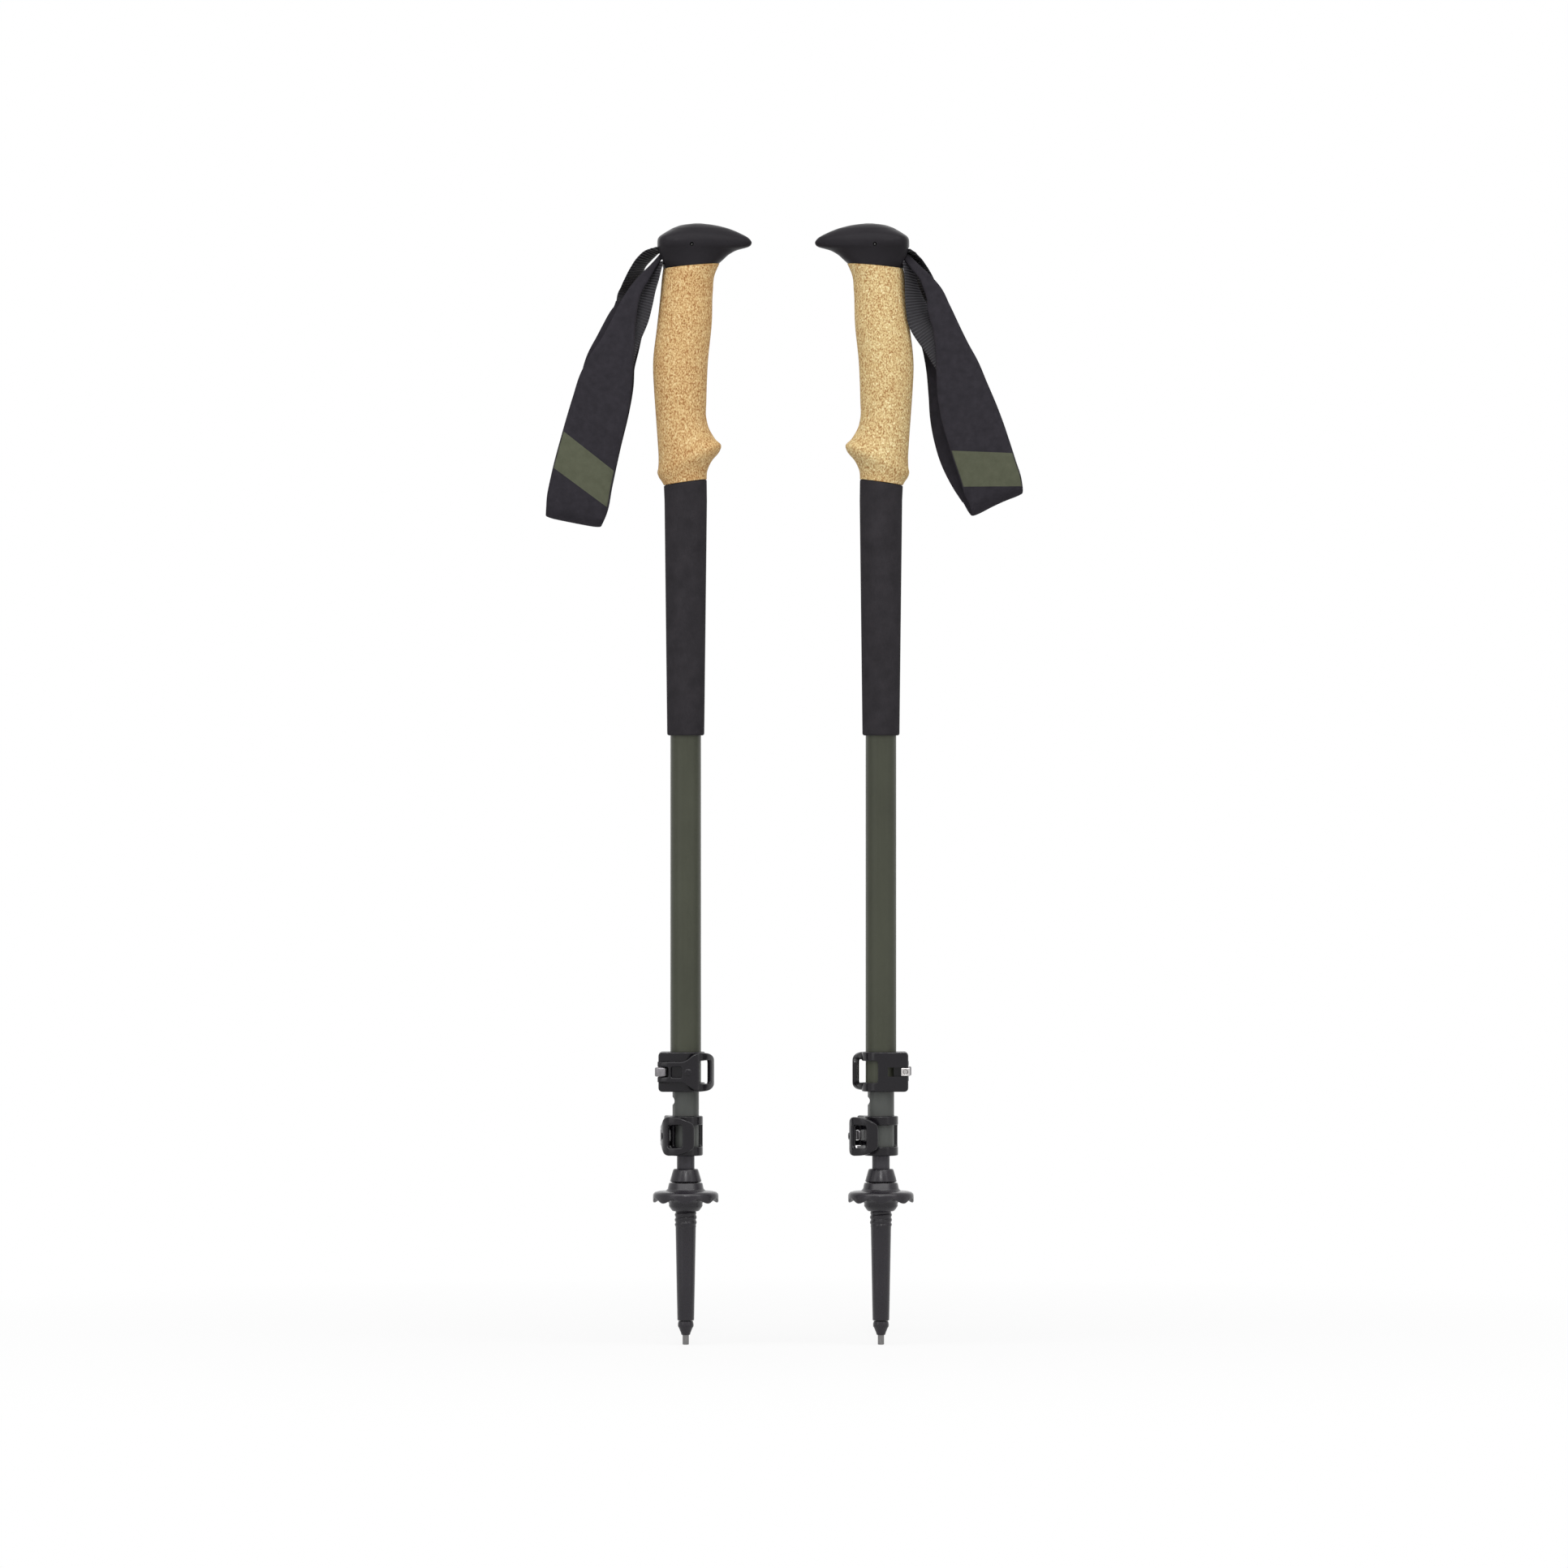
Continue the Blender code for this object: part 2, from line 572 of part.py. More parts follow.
def make_shafts(side, pole, lower_clamp, upper_clamp, paint):
    """The three telescoping tubes and the plugs in the ends of the inner two."""
    foot = LOWER_SHAFT_Z
    taper_start = LOWER_CLAMP_Z
    taper_end = taper_start + LOWER_TAPER_LENGTH
    top = LOWER_TOP
    outer = (
        (LOWER_SOCKET_RADIUS, foot),
        (LOWER_END_RADIUS, CONE_TOP_Z),
        (LOWER_END_RADIUS, taper_start),
        (LOWER_RADIUS, taper_end),
        (LOWER_RADIUS, top),
    )
    inner = [(radius - TUBE_WALL, z) for radius, z in outer]
    add_object(f"{side}_lower_shaft", tube(outer, inner), paint["black_tube"], pole)
    shape = end_plug(LOWER_BORE, LOWER_RADIUS, MIDDLE_BORE, top)
    add_object(f"{side}_lower_end_plug", shape, paint["plug_plastic"], pole)

    foot = MIDDLE_SHAFT_Z
    top = MIDDLE_TOP
    shape = straight_tube(MIDDLE_RADIUS, foot, top)
    middle = add_object(f"{side}_middle_shaft", shape, paint["grey_green_tube"], pole)
    slit(middle, MIDDLE_RADIUS, foot - LOWER_CLAMP_Z, lower_clamp)
    notch_z = UPPER_CLAMP_Z - NOTCH_BELOW_CLAMP
    notch_x = MIDDLE_RADIUS - NOTCH_DEPTH + NOTCH_RADIUS
    notch_side = -1 if side == "left" else 1
    shape = cross_rod(NOTCH_RADIUS, notch_side * notch_x, notch_z, -MIDDLE_RADIUS, MIDDLE_RADIUS)
    boolean(middle, shape, "DIFFERENCE", "notch", pole)
    shape = end_plug(MIDDLE_BORE, MIDDLE_RADIUS, UPPER_BORE, top)
    add_object(f"{side}_middle_end_plug", shape, paint["plug_plastic"], pole)

    foot = UPPER_SHAFT_Z
    shape = straight_tube(UPPER_RADIUS, foot, foot + UPPER_LENGTH)
    upper = add_object(f"{side}_upper_shaft", shape, paint["olive_tube"], pole)
    slit(upper, UPPER_RADIUS, foot - UPPER_CLAMP_Z, upper_clamp)


def straight_tube(radius, low, high):
    bore = radius - TUBE_WALL
    return tube(((radius, low), (radius, high)), ((bore, low), (bore, high)))


def end_plug(bore, radius, outer_bore, top):
    """A plug in a tube's upper end, with a flange that guides it inside the next tube."""
    flange = max(radius, outer_bore - FIT)
    return turned(
        (
            (bore - FIT, top - PLUG_DEPTH),
            (bore - FIT, top + FIT),
            (flange, top + FIT),
            (flange, top + PLUG_FLANGE),
        )
    )


def slit(shaft, radius, foot, clamp):
    """The slit in a tube's end that lets the clamp squeeze it. It faces the clamp's ears."""
    shape = box((-2 * radius, -SLIT_WIDTH / 2, foot - FIT), (0, SLIT_WIDTH / 2, foot + SLIT_LENGTH))
    boolean(shaft, shape, "DIFFERENCE", "slit", clamp)


def make_clamp(name, clamp, tube_radius, inner_radius, lever_open, paint):
    """Split collar, cam lever, lever pin, steel link and adjuster, in a clamp's own frame."""
    bore = tube_radius + FIT
    collar_radius = bore + COLLAR_WALL
    pin = (-(collar_radius + PIN_REACH), -(collar_radius - PIN_STEP))
    make_collar(name, clamp, bore, collar_radius, inner_radius, pin, paint)
    make_lever(name, clamp, collar_radius, pin, lever_open, paint)

    middle = CLAMP_HEIGHT / 2
    arm = ARM_HEIGHT / 2
    shape = rod(PIN_RADIUS, middle - arm, middle + arm, centre=pin)
    add_object(f"{name}_pin", shape, paint["steel"], clamp, (*pin, middle))

    make_link(name, clamp, pin, paint)


def make_collar(name, clamp, bore, collar_radius, inner_radius, pin, paint):
    """Open-framed collar, split on one side between two ears."""
    middle = CLAMP_HEIGHT / 2
    arm_room = ARM_HEIGHT / 2 + FIT
    ear_end = -(collar_radius + EAR_REACH)
    ear_face = collar_radius - EAR_STEP
    far = 3 * collar_radius
    link_room = LINK_HEIGHT / 2 + FIT
    cam_seat = pin[1] + KNUCKLE_RADIUS + FIT
    shape = turned(((collar_radius, 0), (collar_radius, CLAMP_HEIGHT)))
    collar = add_object(f"{name}_collar", shape, paint["clamp_plastic"], clamp)
    shape = box((ear_end, -ear_face, 0), (-EAR_ROOT, ear_face, CLAMP_HEIGHT))
    boolean(collar, shape, "UNION", "ears", clamp)
    shape = turned(
        (
            (inner_radius + FIT, -COLLAR_LIP),
            (inner_radius + FIT, COLLAR_LIP),
            (bore, COLLAR_LIP),
            (bore, CLAMP_HEIGHT + COLLAR_LIP),
        )
    )
    boolean(collar, shape, "DIFFERENCE", "bore", clamp)
    shape = box((-far, -EAR_SPLIT / 2, -COLLAR_LIP), (0, EAR_SPLIT / 2, CLAMP_HEIGHT + COLLAR_LIP))
    boolean(collar, shape, "DIFFERENCE", "split", clamp)
    start, end = COLLAR_WINDOW
    window_top = CLAMP_HEIGHT - COLLAR_RING
    shape = sector(bore - COLLAR_WALL, far, start, end, COLLAR_RING, window_top)
    boolean(collar, shape, "DIFFERENCE", "window", clamp)
    arm_edge = pin[0] + 2 * KNUCKLE_RADIUS
    shape = box((-far, -far, middle - arm_room), (arm_edge, cam_seat, middle + arm_room))
    boolean(collar, shape, "DIFFERENCE", "arm_room", clamp)
    link_edge = pin[0] + LINK_EYE_RADIUS + FIT
    shape = box((-far, -far, middle - link_room), (link_edge, 0, middle + link_room))
    boolean(collar, shape, "DIFFERENCE", "link_slot", clamp)
    head_room = ADJUSTER_HEIGHT / 2 + FIT
    shape = box((-far, ADJUSTER_SEAT, middle - head_room), (ADJUSTER_CHANNEL_X, far, middle + head_room))
    boolean(collar, shape, "DIFFERENCE", "adjuster_slot", clamp)
    shank_room = ADJUSTER_SHANK_RADIUS + FIT
    shape = box((-far, -EAR_SPLIT, middle - shank_room), (pin[0] + shank_room, far, middle + shank_room))
    boolean(collar, shape, "DIFFERENCE", "shank_slot", clamp)


def make_lever(name, clamp, collar_radius, pin, lever_open, paint):
    """Cam lever: a fork on the pin, an arm round the collar and a pull loop, swung open by degrees."""
    middle = CLAMP_HEIGHT / 2
    half_arm = ARM_HEIGHT / 2
    fork = LINK_HEIGHT / 2 + FIT
    half_window = LOOP_WINDOW_HEIGHT / 2
    stations = [((pin[0], pin[1] - KNUCKLE_RADIUS + LEVER_THICKNESS / 2), half_arm, fork)]
    fork_end = pin[0] + LINK_EYE_RADIUS + 2 * FIT
    for index, (angle, standoff) in enumerate(LEVER_PATH):
        radius = collar_radius + standoff
        place = Vector((radius * math.cos(math.radians(angle)), radius * math.sin(math.radians(angle))))
        if index == 0:
            place.x = max(place.x, fork_end)
        half = half_arm if index < ARM_STATIONS - 1 else CLAMP_HEIGHT / 2
        if index == len(LEVER_PATH) - 2:
            half = (CLAMP_HEIGHT + LOOP_END_HEIGHT) / 4
        if index == len(LEVER_PATH) - 1:
            half = LOOP_END_HEIGHT / 2
        hole = fork if index < ARM_STATIONS - 1 else half_window
        stations.append((place, half, min(hole, half - 2 * FIT)))
    open_spans = {0, *ARM_WINDOW_SPANS, *LOOP_WINDOW_SPANS}
    shape = plate(stations, LEVER_THICKNESS, open_spans, middle)
    origin = (*pin, middle)
    lever = add_object(f"{name}_lever", shape, paint["clamp_plastic"], clamp, origin)
    lever.rotation_euler.z = -math.radians(lever_open)
    for word, low, high in (("upper", fork, half_arm), ("lower", -half_arm, -fork)):
        shape = rod(KNUCKLE_RADIUS, middle + low, middle + high, centre=pin)
        boolean(lever, shape, "UNION", f"{word}_knuckle", clamp, origin)
    shape = rod(PIN_RADIUS + FIT, middle - ARM_HEIGHT, middle + ARM_HEIGHT, centre=pin)
    boolean(lever, shape, "DIFFERENCE", "pin_bore", clamp, origin)


def plate(stations, thickness, open_spans, middle):
    """A bent plate of three strips through stations of place, half-height and window half-height."""
    shape = bmesh.new()
    places = [Vector(place) for place, _, _ in stations]
    columns = []
    for i, (_, half, hole) in enumerate(stations):
        ahead = places[min(i + 1, len(places) - 1)] - places[max(i - 1, 0)]
        outwards = Vector((ahead.y, -ahead.x)).normalized() * thickness / 2
        levels = (-half, -hole, hole, half)
        column = []
        for shift in (outwards, -outwards):
            point = places[i] + shift
            column.append([shape.verts.new((point.x, point.y, middle + level)) for level in levels])
        columns.append(column)
    cells = {
        (i, j)
        for i in range(len(stations) - 1)
        for j in range(3)
        if not (j == 1 and i in open_spans)
    }
    for i, j in cells:
        (out_a, in_a), (out_b, in_b) = columns[i], columns[i + 1]
        shape.faces.new((out_a[j], out_b[j], out_b[j + 1], out_a[j + 1]))
        shape.faces.new((in_a[j], in_a[j + 1], in_b[j + 1], in_b[j]))
        if (i - 1, j) not in cells:
            shape.faces.new((out_a[j], out_a[j + 1], in_a[j + 1], in_a[j]))
        if (i + 1, j) not in cells:
            shape.faces.new((out_b[j], in_b[j], in_b[j + 1], out_b[j + 1]))
        if (i, j - 1) not in cells:
            shape.faces.new((out_a[j], in_a[j], in_b[j], out_b[j]))
        if (i, j + 1) not in cells:
            shape.faces.new((out_a[j + 1], out_b[j + 1], in_b[j + 1], in_a[j + 1]))
    loose = [vertex for vertex in shape.verts if not vertex.link_faces]
    bmesh.ops.delete(shape, geom=loose, context="VERTS")
    return shape


def make_link(name, clamp, pin, paint):
    """Steel link from the lever's pin through both ears, and the adjuster that holds it at the back."""
    middle = CLAMP_HEIGHT / 2
    link_end = EAR_SPLIT / 2
    half = LINK_SHANK / 2
    half_eye = LINK_HEIGHT / 2
    origin = (*pin, middle)
    shape = rod(LINK_EYE_RADIUS, middle - half_eye, middle + half_eye, centre=pin)
    link = add_object(f"{name}_link", shape, paint["steel"], clamp, origin)
    shape = box((pin[0] - half, pin[1], middle - half), (pin[0] + half, link_end, middle + half))
    boolean(link, shape, "UNION", "shank", clamp, origin)
    shape = rod(PIN_RADIUS + FIT, middle - LINK_HEIGHT, middle + LINK_HEIGHT, centre=pin)
    boolean(link, shape, "DIFFERENCE", "eye", clamp, origin)
    bore_end = link_end - LINK_BORE_DEPTH
    shape = cross_rod(ADJUSTER_SHANK_RADIUS + FIT, pin[0], middle, bore_end, link_end + LINK_BORE_DEPTH)
    boolean(link, shape, "DIFFERENCE", "thread_bore", clamp, origin)

    seat = ADJUSTER_SEAT + FIT
    head = seat + ADJUSTER_LENGTH
    half_width = ADJUSTER_WIDTH / 2
    half_height = ADJUSTER_HEIGHT / 2
    origin = (pin[0], seat, middle)
    low = (pin[0] - half_width, seat, middle - half_height)
    high = (pin[0] + half_width, head, middle + half_height)
    shape = box(low, high)
    adjuster = add_object(f"{name}_adjuster", shape, paint["steel"], clamp, origin)
    shape = cross_rod(ADJUSTER_SHANK_RADIUS, pin[0], middle, bore_end + FIT, seat + ADJUSTER_LENGTH / 2)
    boolean(adjuster, shape, "UNION", "shank", clamp, origin)
    socket_end = head - ADJUSTER_LENGTH / 3
    shape = cross_rod(ADJUSTER_SOCKET_RADIUS, pin[0], middle, socket_end, head + ADJUSTER_LENGTH)
    boolean(adjuster, shape, "DIFFERENCE", "socket", clamp, origin)


def oval(front, rear, half_depth, base, height, sides, beak=0.0, squareness=2.0):
    """A ring between a front and a rear point of a side outline. A beak narrows its front."""
    ring = []
    for i in range(sides):
        angle = 2 * math.pi * i / sides
        power = 1.0 if math.cos(angle) > 0 else 2 / squareness
        reach = math.copysign(abs(math.cos(angle)) ** power, math.cos(angle))
        spread = math.copysign(abs(math.sin(angle)) ** power, math.sin(angle))
        along = 0.5 + 0.5 * reach
        x = rear[0] + (front[0] - rear[0]) * along
        z = rear[1] + (front[1] - rear[1]) * along
        y = half_depth * spread * (1 - beak * math.cos(angle))
        ring.append((x, y, base + height * z))
    return ring


def grip_joint(z, sides):
    """The slanting ring where the cork meets the head."""
    front = (GRIP_TOP_FRONT, CORK_TOP_SLANT)
    rear = (GRIP_TOP_REAR, 0)
    return oval(front, rear, GRIP_TOP_HALF_DEPTH, z, 1, sides)


def make_grip(side, pole, paint):
    """Foam sleeve, cork grip and head on the upper shaft, with the strap's pin and wedge in the head."""
    far = CORK_LENGTH
    rings = [
        circle(FOAM_END_RADIUS - FOAM_EDGE / 2, FOAM_Z, CORK_SIDES),
        circle(FOAM_END_RADIUS, FOAM_Z + FOAM_EDGE, CORK_SIDES),
        circle(FOAM_TOP_RADIUS, CORK_Z - 2 * FOAM_EDGE, CORK_SIDES),
        oval(*CORK_RINGS[0], CORK_Z - FIT, CORK_LENGTH, CORK_SIDES),
    ]
    foam = add_object(f"{side}_foam_sleeve", loft(rings), paint["foam"], pole)
    boolean(foam, rod(UPPER_RADIUS + FIT, FOAM_Z - far, CORK_Z + far, ROUND), "DIFFERENCE", "bore", pole)

    rings = [oval(*ring, CORK_Z, CORK_LENGTH, CORK_SIDES) for ring in CORK_RINGS]
    rings.append(grip_joint(CORK_Z + CORK_LENGTH, CORK_SIDES))
    cork = add_object(f"{side}_cork_grip", loft(rings), paint["cork"], pole)
    boolean(cork, rod(UPPER_RADIUS + FIT, CORK_Z - far, HEAD_Z + far, ROUND), "DIFFERENCE", "bore", pole)

    make_head(side, pole, paint)


def make_head(side, pole, paint):
    rings = [grip_joint(HEAD_Z, HEAD_SIDES)]
    for front, rear, half_depth, beak in HEAD_RINGS:
        blunt = 2 + (HEAD_REAR_SQUARENESS - 2) * (1 - rear[1] ** 4)
        rings.append(oval(front, rear, half_depth, HEAD_Z, HEAD_HEIGHT, HEAD_SIDES, beak, blunt))
    head = add_object(f"{side}_grip_head", loft(rings), paint["head_rubber"], pole)
    overlap = STRAP_SLOT_FLOOR / 2
    shape = rod(UPPER_BORE - FIT, HEAD_Z - SPIGOT_LENGTH, HEAD_Z + overlap + FIT, ROUND)
    boolean(head, shape, "UNION", "spigot", pole)
    half_slot = STRAP_SLOT_WIDTH / 2
    far = 4 * STRAP_SLOT_WIDTH
    slot_front = STRAP_ENTRY_X + STRAP_SLOT_HEIGHT / 2
    shape = box((-far, -half_slot, SLOT_Z), (slot_front, half_slot, SLOT_Z + STRAP_SLOT_HEIGHT))
    boolean(head, shape, "DIFFERENCE", "strap_slot", pole)
    room_end = STRAP_PIN_X + WEDGE_HUB_RADIUS + 2 * FIT
    room_start = slot_front - WEDGE_ROOM_DEPTH / 4
    shape = box((room_start, -half_slot, SLOT_Z), (room_end, half_slot, SLOT_Z + WEDGE_ROOM_HEIGHT))
    boolean(head, shape, "DIFFERENCE", "wedge_room", pole)
    shape = cross_rod(STRAP_PIN_RADIUS + FIT, STRAP_PIN_X, STRAP_PIN_Z, -far, far)
    boolean(head, shape, "DIFFERENCE", "pin_bore", pole)

    pin_half = HEAD_RINGS[3][2] - 3 * FIT
    origin = (STRAP_PIN_X, 0, STRAP_PIN_Z)
    shape = cross_rod(STRAP_PIN_RADIUS, STRAP_PIN_X, STRAP_PIN_Z, -pin_half, pin_half)
    add_object(f"{side}_strap_pin", shape, paint["steel"], pole, origin)

    half_wedge = WEDGE_WIDTH / 2
    toe = Vector((STRAP_PIN_X - 1.15 * WEDGE_ROOM_DEPTH, SLOT_Z + 2 * WEDGE_TOE_RADIUS))
    shape = wedge_body(Vector((STRAP_PIN_X, STRAP_PIN_Z)), toe, half_wedge)
    wedge = add_object(f"{side}_strap_wedge", shape, paint["plug_plastic"], pole, origin)
    shape = cross_rod(STRAP_PIN_RADIUS + FIT, STRAP_PIN_X, STRAP_PIN_Z, -2 * half_wedge, 2 * half_wedge)
    boolean(wedge, shape, "DIFFERENCE", "pin_bore", pole, origin)


def wedge_body(hub, toe, half_width, steps=8):
    """A wedge in side view, round at its hub and at its toe."""
    along = (toe - hub).normalized()
    start = math.atan2(along.y, along.x)
    outline = []
    hub_end = (hub, WEDGE_HUB_RADIUS, start + math.pi / 2)
    toe_end = (toe, WEDGE_TOE_RADIUS, start - math.pi / 2)
    for centre, radius, turn in (hub_end, toe_end):
        for i in range(steps + 1):
            angle = turn + math.pi * i / steps
            outline.append((centre.x + radius * math.cos(angle), centre.y + radius * math.sin(angle)))
    return loft([[(x, y, z) for x, z in outline] for y in (-half_width, half_width)])


def ribbon(stations, thickness):
    """A flat strap through stations of centre, width vector and width. Its edges are rounded."""
    rings = []
    centres = [centre for centre, _, _ in stations]
    for i, (centre, across, width) in enumerate(stations):
        along = (centres[min(i + 1, len(centres) - 1)] - centres[max(i - 1, 0)]).normalized()
        across = (across - along * across.dot(along)).normalized()
        normal = along.cross(across)
        half = width / 2
        shoulder = half - 0.45 * thickness
        outline = (
            (-half, 0),
            (-shoulder, 0.5),
            (0, 0.5),
            (shoulder, 0.5),
            (half, 0),
            (shoulder, -0.5),
            (0, -0.5),
            (-shoulder, -0.5),
        )
        rings.append([centre + across * a + normal * (b * thickness) for a, b in outline])
    return loft(rings)


def strap_point(x, drop, depth, front):
    """A place on a strap. Front is -1 or 1, the side of the pole that faces the viewer."""
    return Vector((x, front * depth, HEAD_Z + drop))


def in_plane(path, i):
    """The direction across a strap in the pole's side view, towards the beak on the way down."""
    along = path[min(i + 1, len(path) - 1)] - path[max(i - 1, 0)]
    along.y = 0
    return Vector((-along.z, 0, along.x)).normalized()


def webbing(stations, front, leg):
    """Webbing stations: flat across the slot at the head, untwisting into the plane of the strap."""
    path = [strap_point(x, drop, leg * depth, front) for x, drop, depth, _ in stations]
    result = []
    for i, (_, _, _, twist) in enumerate(stations):
        flat = in_plane(path, i)
        towards_viewer = (path[min(i + 1, len(path) - 1)] - path[max(i - 1, 0)]).cross(flat).normalized()
        if towards_viewer.y * front < 0:
            towards_viewer.negate()
        turn = math.radians(twist)
        across = flat * math.cos(turn) + towards_viewer * math.sin(turn)
        result.append((path[i], across, WEBBING_WIDTH))
    return result


def band_loop(front_leg, back_leg, fold, front):
    """The padded band: down its front leg, round the fold at the bottom and up its back leg."""
    down = [strap_point(x, drop, depth, front) for x, drop, depth, _ in front_leg]
    up = [strap_point(x, drop, -depth, front) for x, drop, depth, _ in back_leg]
    result = [
        (point, in_plane(down, i), front_leg[i][3]) for i, point in enumerate(down)
    ]
    width = (front_leg[-1][3] + back_leg[0][3]) / 2
    first = in_plane(down, len(down) - 1)
    last = in_plane(up, 0) * -1
    lowest = strap_point(fold[0], fold[1], 0, front)
    for step in range(1, FOLD_STEPS):
        share = step / FOLD_STEPS
        angle = math.pi * share
        level = down[-1].lerp(up[0], 0.5 - 0.5 * math.cos(angle))
        centre = level + (lowest - down[-1].lerp(up[0], 0.5)) * math.sin(angle)
        result.append((centre, first.lerp(last, share), width))
    for i, point in enumerate(up):
        result.append((point, in_plane(up, i) * -1, back_leg[i][3]))
    return result


def make_strap(side, pole, band, anchor, adjust, front, paint):
    """Wrist strap: padded band and two ribbed webbings, with origins where the strap swings."""
    origin = (STRAP_SWING_X, 0, HEAD_Z + STRAP_SWING_HEIGHT)
    shape = ribbon(band_loop(*band, front), BAND_THICKNESS)
    add_object(f"{side}_wrist_strap", shape, paint["band_fabric"], pole, origin)
    shape = ribbon(webbing(anchor, front, 1), WEBBING_THICKNESS)
    add_object(f"{side}_anchor_webbing", shape, paint["webbing"], pole, origin)
    shape = ribbon(webbing(adjust, front, -1), WEBBING_THICKNESS)
    add_object(f"{side}_adjust_webbing", shape, paint["webbing"], pole, origin)


def make_pole(side, x, turn, lower_turn, lower_open, front, straps, paint):
    pole = empty(f"{side}_pole", None, (x, 0, 0), turn)
    lower_clamp = empty(f"{side}_lower_clamp", pole, (0, 0, LOWER_CLAMP_Z), lower_turn)
    upper_clamp = empty(f"{side}_upper_clamp", pole, (0, 0, UPPER_CLAMP_Z))
    make_tip(side, pole, paint)
    make_shafts(side, pole, lower_clamp, upper_clamp, paint)
    make_clamp(f"{side}_lower_clamp", lower_clamp, MIDDLE_RADIUS, LOWER_RADIUS, lower_open, paint)
    make_clamp(f"{side}_upper_clamp", upper_clamp, UPPER_RADIUS, MIDDLE_RADIUS, 0, paint)
    make_grip(side, pole, paint)
    make_strap(side, pole, *straps, front, paint)


def main():
    clear_scene()
    paint = make_materials()
    half = POLE_SPACING / 2
    left_band = (LEFT_BAND_FRONT, LEFT_BAND_BACK, LEFT_BAND_FOLD)
    right_band = (RIGHT_BAND_FRONT, RIGHT_BAND_BACK, RIGHT_BAND_FOLD)
    left_straps = (left_band, LEFT_ANCHOR, LEFT_ADJUST)
    right_straps = (right_band, RIGHT_ANCHOR, RIGHT_ADJUST)
    make_pole("left", -half, 0, LEFT_LOWER_CLAMP_TURN, 0, -1, left_straps, paint)
    make_pole("right", half, 180, RIGHT_LOWER_CLAMP_TURN, RIGHT_LOWER_LEVER_OPEN, 1, right_straps, paint)


main()
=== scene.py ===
"""Looks of a pair of trekking poles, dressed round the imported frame.

Metres, +Z up, and the camera looks along +Y. Each pole is shaped in its own frame, with its axis on Z
and the beak of its head towards +X, and is then set in its place.
"""

import json
import math

import bmesh
import bpy
import numpy as np
from mathutils import Matrix, Vector

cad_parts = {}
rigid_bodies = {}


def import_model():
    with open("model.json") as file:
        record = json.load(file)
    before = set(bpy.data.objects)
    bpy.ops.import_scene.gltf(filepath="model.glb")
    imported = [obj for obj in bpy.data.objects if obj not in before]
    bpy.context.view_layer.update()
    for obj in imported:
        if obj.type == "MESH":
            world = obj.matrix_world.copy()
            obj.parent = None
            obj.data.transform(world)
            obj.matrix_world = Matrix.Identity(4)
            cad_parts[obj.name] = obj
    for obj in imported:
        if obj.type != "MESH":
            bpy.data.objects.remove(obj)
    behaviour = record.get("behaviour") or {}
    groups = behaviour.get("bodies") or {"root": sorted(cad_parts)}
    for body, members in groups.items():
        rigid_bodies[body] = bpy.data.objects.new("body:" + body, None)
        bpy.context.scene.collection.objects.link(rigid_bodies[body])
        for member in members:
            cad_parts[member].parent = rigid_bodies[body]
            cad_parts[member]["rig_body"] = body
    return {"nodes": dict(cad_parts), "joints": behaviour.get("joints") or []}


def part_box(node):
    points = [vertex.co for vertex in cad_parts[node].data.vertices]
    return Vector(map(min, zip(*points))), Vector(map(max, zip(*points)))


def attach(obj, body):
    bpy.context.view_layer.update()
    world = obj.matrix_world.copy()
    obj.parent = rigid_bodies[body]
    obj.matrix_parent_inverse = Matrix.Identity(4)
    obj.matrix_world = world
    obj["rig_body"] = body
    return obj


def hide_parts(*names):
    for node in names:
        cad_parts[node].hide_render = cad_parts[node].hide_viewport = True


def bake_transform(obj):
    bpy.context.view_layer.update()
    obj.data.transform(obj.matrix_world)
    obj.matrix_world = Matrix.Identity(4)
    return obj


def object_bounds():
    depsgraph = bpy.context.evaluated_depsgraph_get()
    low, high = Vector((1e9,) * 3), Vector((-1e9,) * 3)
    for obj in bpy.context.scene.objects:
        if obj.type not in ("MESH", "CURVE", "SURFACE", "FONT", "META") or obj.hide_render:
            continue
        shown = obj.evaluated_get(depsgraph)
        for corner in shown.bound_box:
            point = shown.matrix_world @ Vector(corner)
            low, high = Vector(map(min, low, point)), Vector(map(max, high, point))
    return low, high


# View
LENS_MM = 200
SENSOR_MM = 36
HEIGHT_IN_FRAME = 0.715  # share of the picture's height that the poles fill

# Fit and fineness
FIT = 0.0003  # clearance between pieces that touch
ROUND = 64  # sides of a round piece
GRIP_SIDES = 96
SMOOTH_ANGLE = math.radians(38)  # sharper edges keep their crease

# Tip
CARBIDE_RADIUS = 0.0018
FERRULE_RADIUS = 0.0045
FERRULE_NOSE_RADIUS = 0.0026
FERRULE_NECK_RADIUS = 0.0042
FERRULE_SHANK_RADIUS = 0.0029
TIP_END_RADIUS = 0.0048
TIP_TAPER_LENGTH = 0.0531
THREAD_ROOT_RADIUS = 0.0058
THREAD_DEPTH = 0.0005
THREAD_LENGTH = 0.0093
THREAD_PITCH = 0.0029
CONE_HEIGHT = 0.0076
CONE_BASE_RADIUS = 0.0090
CONE_TOP_RADIUS = 0.0071
SHAFT_END_RADIUS = 0.0050
SOCKET_RADIUS = 0.0042
SOCKET_DEPTH = 0.0360
TIP_EDGE = 0.0004
THREAD_ROWS_PER_TURN = 10

# Basket
BASKET_WALL = 0.0016
BASKET_CLAWS = 8
CLAW_DEPTH = 0.0016
HUB_TOP_RADIUS = 0.0095
HUB_WALL = 0.0030
SIDES_PER_CLAW = 18

